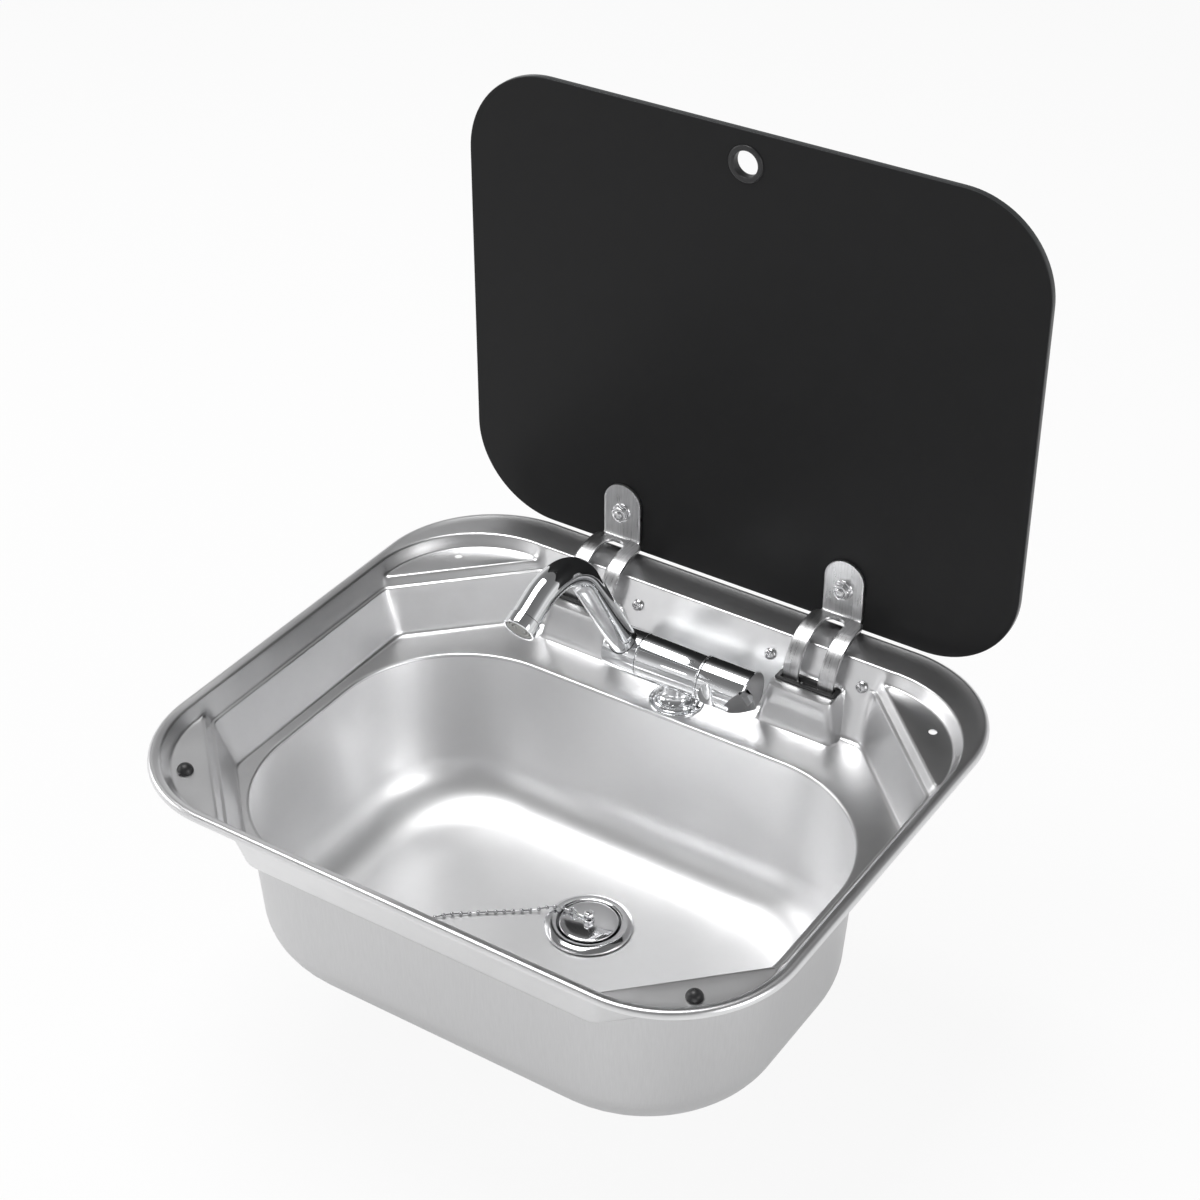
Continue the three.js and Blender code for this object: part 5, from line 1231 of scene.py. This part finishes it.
dress(knob, chrome, "knob", "tap_knob")
second_finish(knob, satin_knob,
              lambda f: abs(f.normal.dot(sideways)) < 0.04 and f.normal.x > 0.5 and f.area > 6e-7)
print(found, "ridge rounded")

# %% Hub that turns with the spout
SPOUT_X, SPOUT_RADIUS = -32.0, 9.1
SPOUT_RISE, SPOUT_DROOP = math.radians(58.4), math.radians(27.4)
ALONG_SPOUT = Matrix.Rotation(math.pi / 2 - SPOUT_RISE, 4, "X")
right = TAP_LEFT - RISE_GAP
hub = turned("spout_hub_barrel", [
    (0, right), (TAP_RADIUS - 0.4, right), (TAP_RADIUS, right - 0.4), (TAP_RADIUS, HUB_LEFT + 1.4),
    (TAP_RADIUS - 0.4, HUB_LEFT + 0.4), (TAP_RADIUS - 1.4, HUB_LEFT), (0, HUB_LEFT),
], 96, 0.15, **ON_BARREL)
bore_end, HUB_BORE = HUB_LEFT + 4.5, 8.25
cut(hub, [drill(((right + bore_end) / 2, TAP_Y, TAP_Z), HUB_BORE, (right - bore_end) / 2, 64,
                ALONG_X)])
up = Vector((0, -math.cos(SPOUT_RISE), math.sin(SPOUT_RISE)))
down = Vector((0, -math.cos(SPOUT_DROOP), -math.sin(SPOUT_DROOP)))
hub_axis = Vector((SPOUT_X, TAP_Y, TAP_Z))
cut(hub, [drill(hub_axis + up * 20, SPOUT_RADIUS + 0.3, 20, 64, ALONG_SPOUT)])
smooth(hub, 30)
dress(hub, chrome, "spout", "spout_hub")

# %% [markdown]
# ## The spout
# A bent pipe: a circle is drawn up along the first leg, spun round the middle of the bend and
# drawn on to the outlet, as a pipe bender does it. Solidify gives the wall of the pipe, so that
# the outlet is a real opening with the aerator in it.

# %% Bend the pipe
LEG, END, BEND, LEG_START, AERATOR_LONG = 128.0, 57.0, 38.0, 9.4, 8.0
bend_cut = BEND * math.tan((SPOUT_RISE + SPOUT_DROOP) / 2)
bpy.ops.object.select_all(action="DESELECT")
bpy.ops.mesh.primitive_circle_add(vertices=64, radius=SPOUT_RADIUS * MM)
pipe = bpy.context.object
place(pipe, "spout_pipe", (hub_axis + up * LEG_START) * MM, ALONG_SPOUT)
open_for_editing(pipe, "VERT")
bpy.ops.mesh.select_all(action="SELECT")
LEG_STEPS, END_STEPS = 6, 3
for _ in range(LEG_STEPS):
    bpy.ops.mesh.extrude_region_move(
        TRANSFORM_OT_translate={"value": up * (LEG - bend_cut - LEG_START) * MM / LEG_STEPS})
bend_start = hub_axis + up * (LEG - bend_cut)
bend_middle = bend_start + Vector((0, -math.sin(SPOUT_RISE), -math.cos(SPOUT_RISE))) * BEND
bpy.ops.mesh.spin(steps=40, angle=SPOUT_RISE + SPOUT_DROOP, center=bend_middle * MM,
                  axis=(-1, 0, 0))
outlet_leg = END - bend_cut - AERATOR_LONG / 2
for _ in range(END_STEPS):
    bpy.ops.mesh.extrude_region_move(
        TRANSFORM_OT_translate={"value": down * outlet_leg * MM / END_STEPS})
bpy.ops.mesh.select_all(action="SELECT")
bpy.ops.mesh.remove_doubles(threshold=0.00001)
bpy.ops.mesh.normals_make_consistent(inside=False)
close_editing(pipe)
low = min(v.co.z for v in pipe.data.vertices) / MM
high = max(v.co.z for v in pipe.data.vertices) / MM
print("pipe from z", round(low, 1), "to", round(high, 1))
apply_modifier(pipe, "SOLIDIFY", thickness=1.5 * MM, offset=-1.0)
smooth(pipe, 35)
dress(pipe, chrome, "spout", "spout_tube")

# %% Aerator at the outlet
outlet = hub_axis + up * LEG + down * END
AT_OUTLET = dict(at=outlet, turn=Matrix.Rotation(math.pi / 2 + SPOUT_DROOP, 4, "X"))
ring = turned("aerator_ring", [
    (8.6, -0.3), (8.9, 0), (9.6, 0), (10.0, -0.4), (10.0, -7.6), (9.7, -8.0), (9.3, -8.0),
    (9.3, -3.8), (8.6, -3.8), (8.6, -0.3),
], 72, 0.08, **AT_OUTLET)
dress(ring, chrome, "spout", "aerator_housing")
sieve = [turned("sieve_ring", [(r, -1.1), (r + 0.5, -0.9), (r + 1.0, -1.1), (r + 1.0, -3.2),
                               (r, -3.2), (r, -1.1)], 32, 0) for r in (0.6, 3.0, 5.4, 7.35)]
for k in range(8):
    rib = cutter_box(0.8, 8.2, -0.2, 0.2, -2.8, -1.3)
    sieve.append(place(rib, "rib", turn=Matrix.Rotation(math.tau * k / 8, 4, "Z")))
sieve = join(sieve, "aerator_sieve")
place(sieve, "aerator_sieve", outlet * MM, AT_OUTLET["turn"])
dress(sieve, white_plastic, "spout", "aerator_insert")

# %% [markdown]
# ## The waste and its stopper
# A polished flange lies on the bowl's floor over a seal. Its slope is turned, its flat top is a
# narrow bright band, and the domed stopper sits in its seat with a dark gap all round. A waisted
# six-sided knob on the stopper carries a wire loop with a ring, to which the chain is hooked.

# %% Drain flange
ON_DRAIN = dict(at=(DRAIN_X, DRAIN_Y, 0))
under, top, cup_foot = FLOOR_Z + 1.0, FLOOR_Z + 4.0, FLOOR_Z - 6.8
drain = turned("drain_ring", [
    (19.9, top - 1.4), (20.2, top - 0.5), (20.9, top - 0.1), (21.6, top), (24.0, top),
    (24.6, top - 0.15), (26.9, under + 1.5), (27.7, under + 0.9), (28.0, under + 0.4),
    (28.0, under), (21.4, under), (21.4, cup_foot), (9, cup_foot), (9, cup_foot + 1.5),
    (17.5, cup_foot + 1.5), (19.7, under), (19.9, top - 1.4),
], 96, 0.12, **ON_DRAIN)
dress(drain, soft_chrome, "basin", "drain_flange")

# %% Stopper, knob and link
cap_top = FLOOR_Z + 4.4
cap = turned("stopper_dome", [
    (0, cap_top + 0.9), (5, cap_top + 0.84), (9.5, cap_top + 0.68), (14, cap_top + 0.4),
    (17.2, cap_top + 0.08), (18.2, cap_top - 0.2), (18.6, cap_top - 0.7), (18.6, cap_top - 2.4),
    (0, cap_top - 2.4),
], 96, 0.1, **ON_DRAIN)
post = turned("stopper_post", [(0, 7.4), (2.2, 7.4), (3.3, 6.5), (3.6, 5.9), (3.4, 3.7), (2.0, 2.6),
                               (2.0, 0.2), (0, 0.2)], 6, 0.3, (DRAIN_X, DRAIN_Y, cap_top))
weld(cap, post)
smooth(cap, 30)
dress(cap, soft_chrome, "stopper", "stopper_cap")
LINK_Z = cap_top + 1.9
links = []
for name, radius, at, turn in (
    ("loop", 3.3, (DRAIN_X, DRAIN_Y, LINK_Z), Matrix.Identity(4)),
    ("ring", 2.3, (DRAIN_X - 11.6, DRAIN_Y, LINK_Z + 0.7), Matrix.Rotation(math.pi / 2, 4, "X")),
):
    bpy.ops.object.select_all(action="DESELECT")
    bpy.ops.mesh.primitive_torus_add(major_segments=40, minor_segments=12,
                                     major_radius=radius * MM, minor_radius=0.5 * MM)
    links.append(place(bpy.context.object, name, Vector(at) * MM, turn))
arm = turned("arm", [(0, 6.6), (0.4, 6.6), (0.5, 6.4), (0.5, 0.2), (0.4, 0), (0, 0)], 12, 0,
             (DRAIN_X - 9.9, DRAIN_Y, LINK_Z), ALONG_X)
link = join(links + [arm], "stopper_wire")
smooth(link, 50)
dress(link, chrome, "stopper", "stopper_link")

# %% Chain anchor on the front wall
ANCHOR_AT = (-72, MOUTH["front"] + 1.81, -82)
WALL_SLOPE = math.atan(0.045)
button = turned("anchor_button", [
    (0, 5.0), (1.6, 5.0), (2.6, 4.6), (3.0, 3.9), (3.0, 3.0), (2.6, 2.4), (1.8, 2.0), (1.8, 1.3),
    (2.6, 1.0), (5.0, 0.5), (5.0, 0.0), (0, 0.0),
], 40, 0.1, ANCHOR_AT, Matrix.Rotation(-math.pi / 2 + WALL_SLOPE, 4, "X"))
dress(button, chrome, "basin", "chain_anchor")
